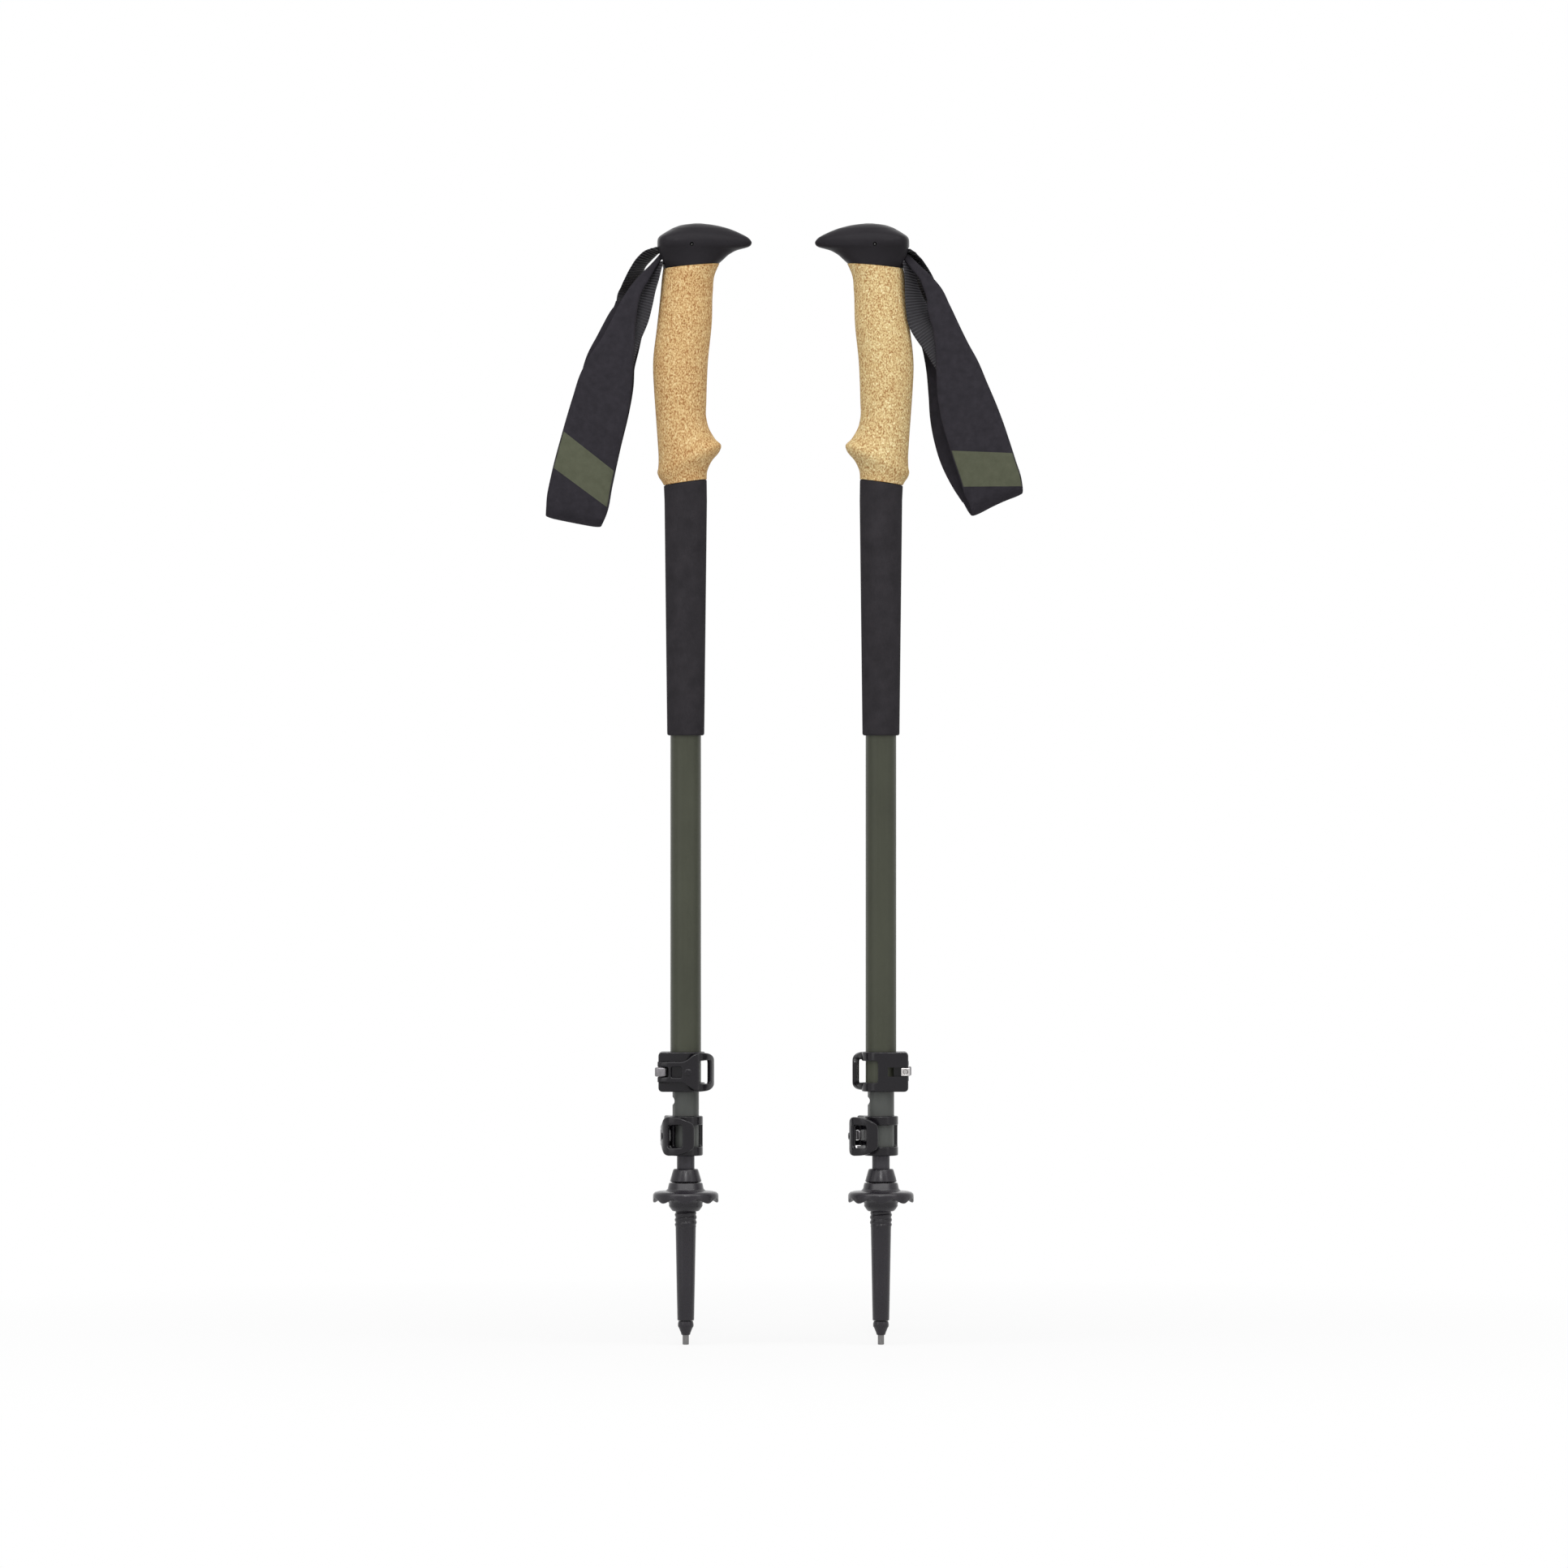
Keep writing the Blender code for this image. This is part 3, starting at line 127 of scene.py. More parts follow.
# Clamps
TUBE_RADIUS = {"upper": 0.00875, "lower": 0.00755}  # tube that each clamp grips
INNER_RADIUS = {"upper": 0.00755, "lower": 0.00645}  # tube that slides in it
COLLAR_WALL = 0.00195
COLLAR_LIP = 0.0010
COLLAR_RING = 0.0052
COLLAR_EDGE = 0.0008
COLLAR_WINDOW = (-64, 80)  # degrees round the collar
WINDOW_CORNER = 0.0016
WINDOW_EDGE = 0.0006
WINDOW_STEPS = 12
EAR_REACH = 0.0045
EAR_STEP = 0.0006
EAR_SPLIT = 0.0022
EAR_CORNER = 0.0014
EAR_ROUND = 0.0022
CLAMP_HEIGHT = 0.0227
PIN_RADIUS = 0.0011
PIN_REACH = 0.0029
PIN_STEP = 0.0025
PIN_EDGE = 0.0003
CAM_RADIUS = 0.0032
KNUCKLE_RADIUS = 0.0021
LEVER_THICKNESS = 0.0026
LEVER_EDGE = 0.0008
ARM_HALF = 0.0059
FORK_HALF = 0.0029
LOOP_WINDOW_HALF = 0.0066
LOOP_HALF = 0.0112
LOOP_TIP = 0.0066  # length over which the loop's end slopes in
LOOP_SHOULDER_HALF = 0.0107
LOOP_END_HALF = 0.0068
LEVER_BEND_STEP = 0.0010
BOSS_RADIUS = 0.0021
BOSS_HEIGHT = 0.0006
BOSS_STATION = 4  # place along the lever where its arm starts to flare
BOSS_SHIFT = 0.0006
LINK_HALF = 0.0026
LINK_EYE_RADIUS = 0.0036
LINK_SQUARENESS = 3.0
LINK_EDGE = 0.0007
LINK_SHANK = 0.0042
LINK_SHANK_EDGE = 0.0005
LINK_BORE_DEPTH = 0.0042
ADJUSTER_WIDTH = 0.0051
ADJUSTER_HEIGHT = 0.0046
ADJUSTER_LENGTH = 0.0054
ADJUSTER_SHANK_RADIUS = 0.0012
ADJUSTER_SOCKET_RADIUS = 0.0014
ADJUSTER_SEAT = 0.0055
ADJUSTER_CHANNEL_X = -0.0038
ADJUSTER_EDGE = 0.0004
SLIT_WIDTH = 0.0018
SLIT_LENGTH = 0.0190
TUBE_WALL = 0.0007
NOTCH_RADIUS = 0.0029
NOTCH_DEPTH = 0.0012
NOTCH_BELOW_CLAMP = 0.0054
LEVER_STRETCH = {"upper": 1.0, "lower": 1.035}  # the same lever goes further round a smaller collar
# Angle round the collar and stand-off from it along a lever, from its fork to the end of its loop.
LEVER_PATH = (
    (-128, 0.0044),
    (-123, 0.0039),
    (-101, 0.0031),
    (-86, 0.0037),
    (-69, 0.0046),
    (-61, 0.0047),
    (-49, 0.0042),
    (-34, 0.0039),
    (-27, 0.0039),
    (-9, 0.0041),
    (-1, 0.0040),
)

# Grip
GRIP_BORE = 0.00905
FOAM_TOP_RADIUS = 0.0122
FOAM_END_RADIUS = 0.0106
FOAM_EDGE = 0.0012
FOAM_TOP_EDGE = 0.0004
FOAM_FLARE = 0.0040  # length at the top in which the sleeve turns oval
FOAM_ROWS = 24
CORK_LENGTH = 0.1234
CORK_TOP_SLANT = 0.0030
CORK_ROWS = 110
HEAD_HEIGHT = 0.0257
HEAD_ROWS = 90
HEAD_EDGE = 0.0004
HEAD_EDGE_ANGLE = math.radians(50)
HEAD_REAR_SQUARENESS = 3.2
GRIP_TOP = (0.0192, -0.0129, 0.0132)  # front, rear and half-depth where cork meets head
SLOT_FLOOR = 0.0022
SLOT_HEIGHT = 0.0100
SLOT_WIDTH = 0.0168
SLOT_FRONT = -0.0078
ROOM_START = -0.0098
ROOM_END = 0.0072
ROOM_HEIGHT = 0.0145
SPIGOT_RADIUS = 0.00775
SPIGOT_LENGTH = 0.0240
STRAP_PIN_RADIUS = 0.0009
STRAP_PIN_X = 0.0036
STRAP_PIN_HEIGHT = 0.0131
PLUG_EDGE = 0.0002
# Front x and height, rear x and height, and half-depth. Heights are shares of the piece's height.
CORK_RINGS = (
    (0.0120, 0.028, -0.0125, 0.000, 0.0122),
    (0.0122, 0.062, -0.0137, 0.017, 0.0126),
    (0.0148, 0.111, -0.0153, 0.036, 0.0137),
    (0.0193, 0.156, -0.0162, 0.062, 0.0150),
    (0.0203, 0.178, -0.0158, 0.074, 0.0152),
    (0.0170, 0.212, -0.0155, 0.122, 0.0146),
    (0.0138, 0.254, -0.0159, 0.186, 0.0139),
    (0.0118, 0.310, -0.0168, 0.291, 0.0134),
    (0.0118, 0.392, -0.0181, 0.441, 0.0134),
    (0.0126, 0.562, -0.0186, 0.572, 0.0136),
    (0.0149, 0.753, -0.0163, 0.741, 0.0135),
    (0.0155, 0.899, -0.0144, 0.884, 0.0131),
    (0.0167, 0.978, -0.0135, 0.963, 0.0131),
)
CORK_FOOT_SLANT = CORK_RINGS[0][1] * CORK_LENGTH
# As above, then how far the beak narrows the front.
HEAD_RINGS = (
    (0.0212, 0.187, -0.0139, 0.152, 0.0137, 0.06),
    (0.0256, 0.331, -0.0158, 0.331, 0.0144, 0.18),
    (0.0294, 0.405, -0.0161, 0.424, 0.0148, 0.28),
    (0.0357, 0.475, -0.0162, 0.494, 0.0150, 0.40),
    (0.0376, 0.549, -0.0162, 0.568, 0.0150, 0.44),
    (0.0372, 0.619, -0.0160, 0.638, 0.0148, 0.44),
    (0.0353, 0.693, -0.0151, 0.700, 0.0143, 0.42),
    (0.0318, 0.767, -0.0128, 0.767, 0.0131, 0.38),
    (0.0278, 0.837, -0.0099, 0.837, 0.0113, 0.32),
    (0.0223, 0.911, -0.0063, 0.911, 0.0087, 0.24),
    (0.0133, 0.981, 0.0004, 0.981, 0.0040, 0.10),
    (0.0090, 1.000, 0.0045, 1.000, 0.0014, 0.00),
)

# Straps: x from the pole's axis, height from the head's base, depth towards the viewer, and width
# of the band or twist in degrees of the webbing.
BAND_THICKNESS = 0.0024
BAND_STEP = 0.0012
WEBBING_WIDTH = 0.0160
WEBBING_THICKNESS = 0.0013
RIB_PITCH = 0.0016
RIB_DEPTH = 0.00022
STEPS_PER_RIB = 6
STRAP_CROWN = 0.28  # share of its thickness that a strap loses towards its edges
STRAP_STOUTNESS = 0.8  # most thickness for its width
STRAP_POINTS = 13  # across each face
FOLD_STEPS = 5
FOLD_NARROWING = 0.08
SLOT_MOUTH_X = -0.0128
BEND_START = (SLOT_MOUTH_X, 0.0070)  # where the strap's bend would start and end when it swings; these go to dress with the straps, which does not use them
BEND_END = (-0.0270, -0.0145)
LEFT_STRAP = {
    "front": (
        (-0.0138, 0.0070, 0.0030, 0.0028),
        (-0.0160, 0.0042, 0.0036, 0.0031),
        (-0.0192, 0.0000, 0.0046, 0.0040),
        (-0.0228, -0.0048, 0.0058, 0.0058),
        (-0.0290, -0.0138, 0.0074, 0.0078),
        (-0.0326, -0.0226, 0.0084, 0.0110),
        (-0.0359, -0.0337, 0.0090, 0.0150),
        (-0.0388, -0.0444, 0.0094, 0.0203),
        (-0.0420, -0.0536, 0.0096, 0.0256),
        (-0.0456, -0.0657, 0.0096, 0.0308),
        (-0.0482, -0.0768, 0.0094, 0.0326),
        (-0.0540, -0.0990, 0.0086, 0.0341),
        (-0.0593, -0.1212, 0.0074, 0.0352),
        (-0.0622, -0.1360, 0.0062, 0.0350),
    ),
    "back": (
        (-0.0622, -0.1360, 0.0062, 0.0350),
        (-0.0593, -0.1212, 0.0074, 0.0352),
        (-0.0540, -0.0990, 0.0086, 0.0341),
        (-0.0480, -0.0768, 0.0094, 0.0326),
        (-0.0454, -0.0657, 0.0096, 0.0312),
        (-0.0434, -0.0546, 0.0095, 0.0288),
        (-0.0393, -0.0435, 0.0092, 0.0258),
        (-0.0352, -0.0324, 0.0087, 0.0226),
        (-0.0318, -0.0240, 0.0080, 0.0200),
        (-0.0312, -0.0190, 0.0072, 0.0178),
    ),
    "fold": (-0.0641, -0.1442),
    "anchor": (
        (SLOT_MOUTH_X, 0.0031, 0.0000, 90),
        (-0.0147, 0.0030, 0.0004, 82),
        (-0.0168, 0.0002, 0.0011, 68),
        (-0.0193, -0.0058, 0.0020, 59),
        (-0.0224, -0.0125, 0.0032, 48),
        (-0.0254, -0.0200, 0.0044, 32),
        (-0.0288, -0.0290, 0.0053, 14),
        (-0.0332, -0.0390, 0.0058, 4),
        (-0.0366, -0.0500, 0.0074, 0),
        (-0.0384, -0.0590, 0.0077, 0),
    ),
    "adjust": (
        (SLOT_MOUTH_X, 0.0112, 0.0000, -90),
        (-0.0162, 0.0106, 0.0000, -82),
        (-0.0190, 0.0094, 0.0008, -73),
        (-0.0238, 0.0054, 0.0026, -67),
        (-0.0278, 0.0000, 0.0050, -64),
        (-0.0302, -0.0070, 0.0076, -48),
        (-0.0310, -0.0128, 0.0096, -24),
        (-0.0316, -0.0170, 0.0100, -6),
        (-0.0322, -0.0220, 0.0099, 0),
        (-0.0350, -0.0310, 0.0104, 0),
        (-0.0384, -0.0400, 0.0109, 0),
    ),
    # The printed stripe's upper and lower edge in the side view, left end to right end.
    "stripe": ((-0.0695, -0.0933, -0.0406, -0.1160), (-0.0751, -0.1141, -0.0453, -0.1361)),
}
RIGHT_STRAP = {
    "front": (
        (-0.0136, 0.0066, 0.0038, 0.0038),
        (-0.0152, 0.0052, 0.0044, 0.0044),
        (-0.0171, 0.0032, 0.0052, 0.0047),
        (-0.0202, -0.0004, 0.0062, 0.0052),
        (-0.0242, -0.0046, 0.0070, 0.0060),
        (-0.0274, -0.0094, 0.0074, 0.0082),
        (-0.0304, -0.0147, 0.0076, 0.0102),
        (-0.0330, -0.0235, 0.0084, 0.0132),
        (-0.0370, -0.0346, 0.0090, 0.0154),
        (-0.0407, -0.0472, 0.0094, 0.0201),
        (-0.0434, -0.0568, 0.0096, 0.0248),
        (-0.0468, -0.0712, 0.0096, 0.0298),
        (-0.0500, -0.0823, 0.0094, 0.0325),
        (-0.0537, -0.0934, 0.0090, 0.0335),
        (-0.0573, -0.1045, 0.0084, 0.0338),
        (-0.0610, -0.1156, 0.0074, 0.0336),
        (-0.0640, -0.1250, 0.0062, 0.0336),
    ),
    "back": (
        (-0.0620, -0.1262, 0.0062, 0.0336),
        (-0.0554, -0.1160, 0.0074, 0.0336),
        (-0.0500, -0.1050, 0.0084, 0.0336),
        (-0.0464, -0.0934, 0.0090, 0.0332),
        (-0.0440, -0.0823, 0.0094, 0.0322),
        (-0.0422, -0.0712, 0.0096, 0.0300),
        (-0.0400, -0.0568, 0.0095, 0.0282),
        (-0.0366, -0.0450, 0.0092, 0.0256),
        (-0.0316, -0.0330, 0.0087, 0.0222),
        (-0.0282, -0.0235, 0.0080, 0.0190),
    ),
    "fold": (-0.0658, -0.1338),
    "anchor": (
        (SLOT_MOUTH_X, 0.0031, 0.0000, 90),
        (-0.0145, 0.0030, 0.0004, 80),
        (-0.0160, 0.0004, 0.0012, 67),
        (-0.0172, -0.0074, 0.0024, 63),
        (-0.0186, -0.0150, 0.0036, 52),
        (-0.0205, -0.0225, 0.0047, 36),
        (-0.0234, -0.0315, 0.0055, 16),
        (-0.0284, -0.0390, 0.0064, 4),
        (-0.0325, -0.0447, 0.0072, 0),
        (-0.0376, -0.0531, 0.0077, 0),
        (-0.0398, -0.0567, 0.0077, 0),
    ),
    "adjust": (
        (SLOT_MOUTH_X, 0.0112, 0.0000, -90),
        (-0.0164, 0.0098, 0.0000, -84),
        (-0.0188, 0.0066, 0.0018, -70),
        (-0.0210, 0.0026, 0.0038, -62),
        (-0.0237, -0.0030, 0.0060, -54),
        (-0.0262, -0.0100, 0.0084, -42),
        (-0.0284, -0.0170, 0.0102, -20),
        (-0.0304, -0.0240, 0.0100, -4),
        (-0.0332, -0.0320, 0.0104, 0),
        (-0.0372, -0.0420, 0.0108, 0),
    ),
    "stripe": ((-0.0737, -0.1056, -0.0367, -0.1042), (-0.0790, -0.1245, -0.0441, -0.1248)),
}

# Light
WORLD_LEVEL = 0.16
LAMP_TARGET = (0.0, 0.0, 0.32)
# Name, place, size and power of each lamp.
LAMPS = (
    ("overhead", (0.0, -1.0, 2.05), (4.0, 1.7), 58),
    ("front", (0.0, -2.6, 1.75), (0.5, 0.25), 14),
    ("left", (-1.6, -1.4, 0.6), (0.6, 1.2), 3),
    ("right", (1.6, -1.4, 0.6), (0.6, 1.2), 2),
    ("rear", (0.0, 2.4, 1.2), (4.0, 2.4), 8),
)

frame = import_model()
CAD_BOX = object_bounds()
JOINTS = {joint["name"]: joint for joint in frame["joints"]}


def eased(rows, knots, places):
    """Rows of numbers, read at places along their knots from smooth cubic spans."""
    rows = np.array(rows, float)
    knots = np.array(knots, float)
    places = np.clip(np.array(places, float), knots[0], knots[-1])
    slopes = np.gradient(rows, knots, axis=0)
    i = np.clip(np.searchsorted(knots, places, side="right") - 1, 0, len(knots) - 2)
    span = (knots[i + 1] - knots[i])[:, None]
    t = (places - knots[i])[:, None] / span
    start = (1 + 2 * t) * (1 - t) ** 2 * rows[i] + t * (1 - t) ** 2 * span * slopes[i]
    end = t * t * (3 - 2 * t) * rows[i + 1] + t * t * (t - 1) * span * slopes[i + 1]
    return start + end


def unit(rows):
    """Each row as a direction of length 1."""
    return rows / np.linalg.norm(rows, axis=1)[:, None]


def lengths(points):
    """How far along a line of points each one is."""
    steps = np.linalg.norm(np.diff(np.array(points, float), axis=0), axis=1)
    return np.concatenate([[0.0], np.cumsum(steps)])


def loft(rings, closed=False):
    """A body through rings of points, capped at both ends or closed on its first ring."""
    shape = bmesh.new()
    rows = [[shape.verts.new(point) for point in ring] for ring in rings]
    pairs = list(zip(rows, rows[1:]))
    if closed:
        pairs.append((rows[-1], rows[0]))
    for low, high in pairs:
        for i in range(len(low)):
            j = (i + 1) % len(low)
            shape.faces.new((low[i], low[j], high[j], high[i]))
    if not closed:
        shape.faces.new(rows[0][::-1])
        shape.faces.new(rows[-1])
    bmesh.ops.recalc_face_normals(shape, faces=shape.faces)
    return shape


def circle(radius, z, sides=ROUND):
    """A ring of points about Z."""
    turn = 2 * math.pi / sides
    return [(radius * math.cos(turn * i), radius * math.sin(turn * i), z) for i in range(sides)]


def quarter_round(edge, steps=4):
    """Distances from the two sides of a corner, along its rounding."""
    angles = [math.pi / 2 * step / steps for step in range(steps + 1)]
    return [(edge * (1 - math.cos(angle)), edge * (1 - math.sin(angle))) for angle in angles]


def rim_profile(half, edge, steps=4):
    """Insets and heights up a side with rounded rims, from -half to half."""
    rows = []
    for level in (-1, 1):
        for inset, drop in quarter_round(edge, steps)[::level]:
            rows.append((inset, level * (half - drop)))
    return rows


def rod(radius, low, high, centre=(0, 0), edge=0.0):
    """A rod along Z, with rounded ends if it has an edge."""
    half = (high - low) / 2
    profile = rim_profile(half, edge) if edge else ((0, -half), (0, half))
    rings = []
    for inset, z in profile:
        ring = circle(radius - inset, low + half + z)
        rings.append([(x + centre[0], y + centre[1], height) for x, y, height in ring])
    return loft(rings)


def lay_along_y(shape, x, z):
    """Turns a shape that stands along Z to lie along Y at a place in the side view."""
    turn = Matrix.Translation((x, 0, z)) @ Matrix.Rotation(math.pi / 2, 4, "X")
    bmesh.ops.transform(shape, matrix=turn, verts=shape.verts)
    return shape


def cross_rod(radius, x, z, low, high):
    """A rod along Y."""
    return lay_along_y(loft([circle(radius, y) for y in (-high, -low)]), x, z)


def block(low, high):
    """A box between two corners."""
    corners = [(low[0], low[1]), (high[0], low[1]), (high[0], high[1]), (low[0], high[1])]
    return loft([[(x, y, z) for x, y in corners] for z in (low[2], high[2])])


def add_object(name, shape):
    mesh = bpy.data.meshes.new(name)
    shape.to_mesh(mesh)
    shape.free()
    obj = bpy.data.objects.new(name, mesh)
    bpy.context.scene.collection.objects.link(obj)
    return obj


def carve(obj, shape, operation="DIFFERENCE"):
    """Cuts a shape from an object, or joins it on, for good."""
    tool = add_object("tool", shape)
    modifier = obj.modifiers.new("carve", "BOOLEAN")
    modifier.operation = operation
    modifier.solver = "EXACT"
    modifier.object = tool
    graph = bpy.context.evaluated_depsgraph_get()
    mesh = bpy.data.meshes.new_from_object(obj.evaluated_get(graph))
    obj.modifiers.remove(modifier)
    obj.data = mesh
    bpy.data.objects.remove(tool)


def round_edges(obj, width, segments=3, angle=SMOOTH_ANGLE):
    modifier = obj.modifiers.new("round", "BEVEL")
    modifier.limit_method = "ANGLE"
    modifier.angle_limit = angle
    modifier.width = width
    modifier.segments = segments
    modifier.harden_normals = True


def flatten_shading(obj):
    """Lets large flat faces set the shading of the rounded edges beside them."""
    modifier = obj.modifiers.new("shading", "WEIGHTED_NORMAL")
    modifier.keep_sharp = True


def dress(obj, slot, *nodes, place=None, paint=None, across=None):
    """Sets a shape in its place with its finish, riding on the body of the nodes that it stands for.

    Across would name two bodies, and where a soft piece starts and ends its bend from one to the other;
    only whether it is given is used, and such a piece is baked in place on no body.
    """
    if place is not None:
        obj.data.transform(place)
    obj.data.materials.clear()
    obj.data.materials.append(PAINT[paint or slot])
    for polygon in obj.data.polygons:
        polygon.use_smooth = True
    obj.data.set_sharp_from_angle(angle=SMOOTH_ANGLE)
    if across is None:
        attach(obj, frame["nodes"][nodes[0]]["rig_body"])
    else:
        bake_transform(obj)
    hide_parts(*nodes)
    return obj


def stand_in(node, slot, shape, place, paint=None):
    """A shape in the pole's own frame as the piece that stands for a node."""
    return dress(add_object(f"{node}_finished", shape), slot, node, place=place, paint=paint)


def refine(node, slot, width):
    """A welded copy of a CAD node with rounded edges, which stands for it."""
    shape = bmesh.new()
    shape.from_mesh(frame["nodes"][node].data)
    bmesh.ops.remove_doubles(shape, verts=shape.verts, dist=2e-6)
    flat = math.radians(0.5)
    bmesh.ops.dissolve_limit(shape, angle_limit=flat, verts=shape.verts, edges=shape.edges)
    obj = add_object(f"{node}_finished", shape)
    if width:
        round_edges(obj, width)
    return dress(obj, slot, node)


def principled(name, roughness, metallic=0.0, specular=0.5):
    """A new material's node tree and its shader."""
    material = bpy.data.materials.new(name)
    material.use_nodes = True
    shader = material.node_tree.nodes["Principled BSDF"]
    shader.inputs["Roughness"].default_value = roughness
    shader.inputs["Metallic"].default_value = metallic
    shader.inputs["Specular IOR Level"].default_value = specular
    return material, material.node_tree, shader


def add_node(tree, kind, inputs, **settings):
    """A node whose inputs take values or links, by name or by number."""
    node = tree.nodes.new(kind)
    for key, value in settings.items():
        setattr(node, key, value)
    for key, value in inputs.items():
        if isinstance(value, bpy.types.NodeSocket):
            tree.links.new(value, node.inputs[key])
        else:
            node.inputs[key].default_value = value
    return node


def object_place(tree):
    return add_node(tree, "ShaderNodeTexCoord", {}).outputs["Object"]


def noise(tree, place, scale, detail=3.0, roughness=0.55):
    inputs = {"Vector": place, "Scale": scale, "Detail": detail, "Roughness": roughness}
    return add_node(tree, "ShaderNodeTexNoise", inputs).outputs["Fac"]


def math_node(tree, operation, first, second=0.0, clamp=False):
    inputs = {0: first, 1: second}
    return add_node(tree, "ShaderNodeMath", inputs, operation=operation, use_clamp=clamp).outputs[0]


def rescale(tree, value, low, high, to_low=0.0, to_high=1.0):
    inputs = {"Value": value, "From Min": low, "From Max": high, "To Min": to_low, "To Max": to_high}
    return add_node(tree, "ShaderNodeMapRange", inputs).outputs["Result"]


def ramp(tree, value, *stops):
    """Colours along a value, from stops of position and colour."""
    node = add_node(tree, "ShaderNodeValToRGB", {"Fac": value})
    elements = node.color_ramp.elements
    while len(elements) < len(stops):
        elements.new(0.5)
    for element, (position, colour) in zip(elements, stops):
        element.position = position
        element.color = (*colour, 1.0)
    return node.outputs["Color"]


def blend(tree, share, first, second, mode="MIX"):
    inputs = {0: share, 6: first, 7: second}
    for key in (6, 7):
        if isinstance(inputs[key], tuple) and len(inputs[key]) == 3:
            inputs[key] = (*inputs[key], 1.0)
    node = add_node(tree, "ShaderNodeMix", inputs, data_type="RGBA", blend_type=mode)
    return node.outputs[2]


def bump(tree, shader, height, strength, distance):
    inputs = {"Height": height, "Strength": strength, "Distance": distance}
    node = add_node(tree, "ShaderNodeBump", inputs)
    tree.links.new(node.outputs["Normal"], shader.inputs["Normal"])


def paint_colour(tree, shader, colour):
    tree.links.new(colour, shader.inputs["Base Color"])


def vary_roughness(tree, shader, pattern, low, high):
    tree.links.new(rescale(tree, pattern, 0.3, 0.7, low, high), shader.inputs["Roughness"])


def toned(colour, level):
    """A lighter or darker tone of a colour."""
    return tuple(level * channel for channel in colour)


def drawn_out(tree, place, height):
    """Places with their heights scaled, so that a pattern runs along the pole."""
    inputs = {"Vector": place, "Scale": (1, 1, height)}
    return add_node(tree, "ShaderNodeMapping", inputs).outputs["Vector"]


def moulded(name, colour, roughness, grain, specular=0.5):
    """Moulded plastic: a fine spark-eroded grain and faint handling marks."""
    material, tree, shader = principled(name, roughness, specular=specular)
    place = object_place(tree)
    smudge = rescale(tree, noise(tree, place, 55, 4), 0.35, 0.7)
    paint_colour(tree, shader, blend(tree, smudge, colour, toned(colour, 1.22)))
    vary_roughness(tree, shader, noise(tree, place, 130, 4), roughness - 0.05, roughness + 0.07)
    bump(tree, shader, noise(tree, place, 2600, 2), grain, 0.00015)
    return material


def anodised(name, colour, roughness):
    """Anodised tube: a satin film over drawn metal, with faint lines along it."""
    material, tree, shader = principled(name, roughness, metallic=0.15, specular=0.25)
    place = object_place(tree)
    lines = noise(tree, drawn_out(tree, place, 0.03), 1800, 2)
    cloud = rescale(tree, noise(tree, place, 24, 3), 0.3, 0.7)
    light = toned(colour, 1.12)
    tone = blend(tree, cloud, toned(colour, 0.88), light)
    paint_colour(tree, shader, blend(tree, rescale(tree, lines, 0.42, 0.6, 0.0, 0.25), tone, light))
    vary_roughness(tree, shader, lines, roughness - 0.05, roughness + 0.06)
    bump(tree, shader, lines, 0.06, 0.00008)
    return material


def cork_finish(name, tint):
    """Agglomerated cork: fine pressed grains from pale tan to brown, with bark flecks and pale chips."""
    material, tree, shader = principled(name, 0.8, specular=0.2)
    place = object_place(tree)
    pressed = drawn_out(tree, place, 0.7)
    grain = noise(tree, pressed, 1250, 1.5, 0.6)
    drift = rescale(tree, noise(tree, place, 110, 3), 0.3, 0.7, -0.03, 0.03)
    grain = math_node(tree, "ADD", grain, drift)
    colour = ramp(
        tree,
        grain,
        (0.28, (0.270, 0.112, 0.034)),
        (0.40, (0.430, 0.228, 0.087)),
        (0.50, (0.565, 0.364, 0.160)),
        (0.60, (0.645, 0.456, 0.212)),
        (0.73, (0.790, 0.635, 0.370)),
    )
    chips = noise(tree, pressed, 760, 2.0, 0.6)
    bark = rescale(tree, chips, 0.65, 0.74, 0.0, 0.7)
    colour = blend(tree, bark, colour, (0.200, 0.075, 0.024))
    pale = rescale(tree, chips, 0.31, 0.23, 0.0, 0.5)
    colour = blend(tree, pale, colour, (0.760, 0.610, 0.350))
    paint_colour(tree, shader, blend(tree, 1.0, colour, tint, "MULTIPLY"))
    bump(tree, shader, grain, 0.3, 0.0002)
    return material


def foam_finish():
    """Closed-cell foam: dull, with fine pores darkened as painted shade, and slight mottling."""
    material, tree, shader = principled("foam", 0.92, specular=0.1)
    place = object_place(tree)
    cells = add_node(tree, "ShaderNodeTexVoronoi", {"Vector": place, "Scale": 2100})
    mottle = rescale(tree, noise(tree, place, 120, 4), 0.3, 0.7)
    tone = blend(tree, mottle, (0.024, 0.022, 0.025), (0.034, 0.031, 0.035))
    # Painted shade: darker in the pits of the pores.
    pore_painted_shade = rescale(tree, cells.outputs["Distance"], 0.0, 0.45, 0.35, 0.0)
    paint_colour(tree, shader, blend(tree, pore_painted_shade, tone, (0.014, 0.013, 0.014)))
    bump(tree, shader, cells.outputs["Distance"], 0.3, 0.0001)
    return material


def strap_lie(tree):
    """Across, along and which face of a strap, in metres and -1 or 1."""
    lie = add_node(tree, "ShaderNodeAttribute", {}, attribute_name="lie")
    return add_node(tree, "ShaderNodeSeparateXYZ", {"Vector": lie.outputs["Vector"]}).outputs


def thread_wave(tree, value, pitch):
    """A wave from 0 to 1 with one crest every pitch."""
    wave = math_node(tree, "SINE", math_node(tree, "MULTIPLY", value, 2 * math.pi / pitch))
    return rescale(tree, wave, -1, 1)


def woven(tree, across, across_pitch, along, along_pitch):
    """The crossing of two sets of threads."""
    waves = (thread_wave(tree, across, across_pitch), thread_wave(tree, along, along_pitch))
    return math_node(tree, "MULTIPLY", *waves)


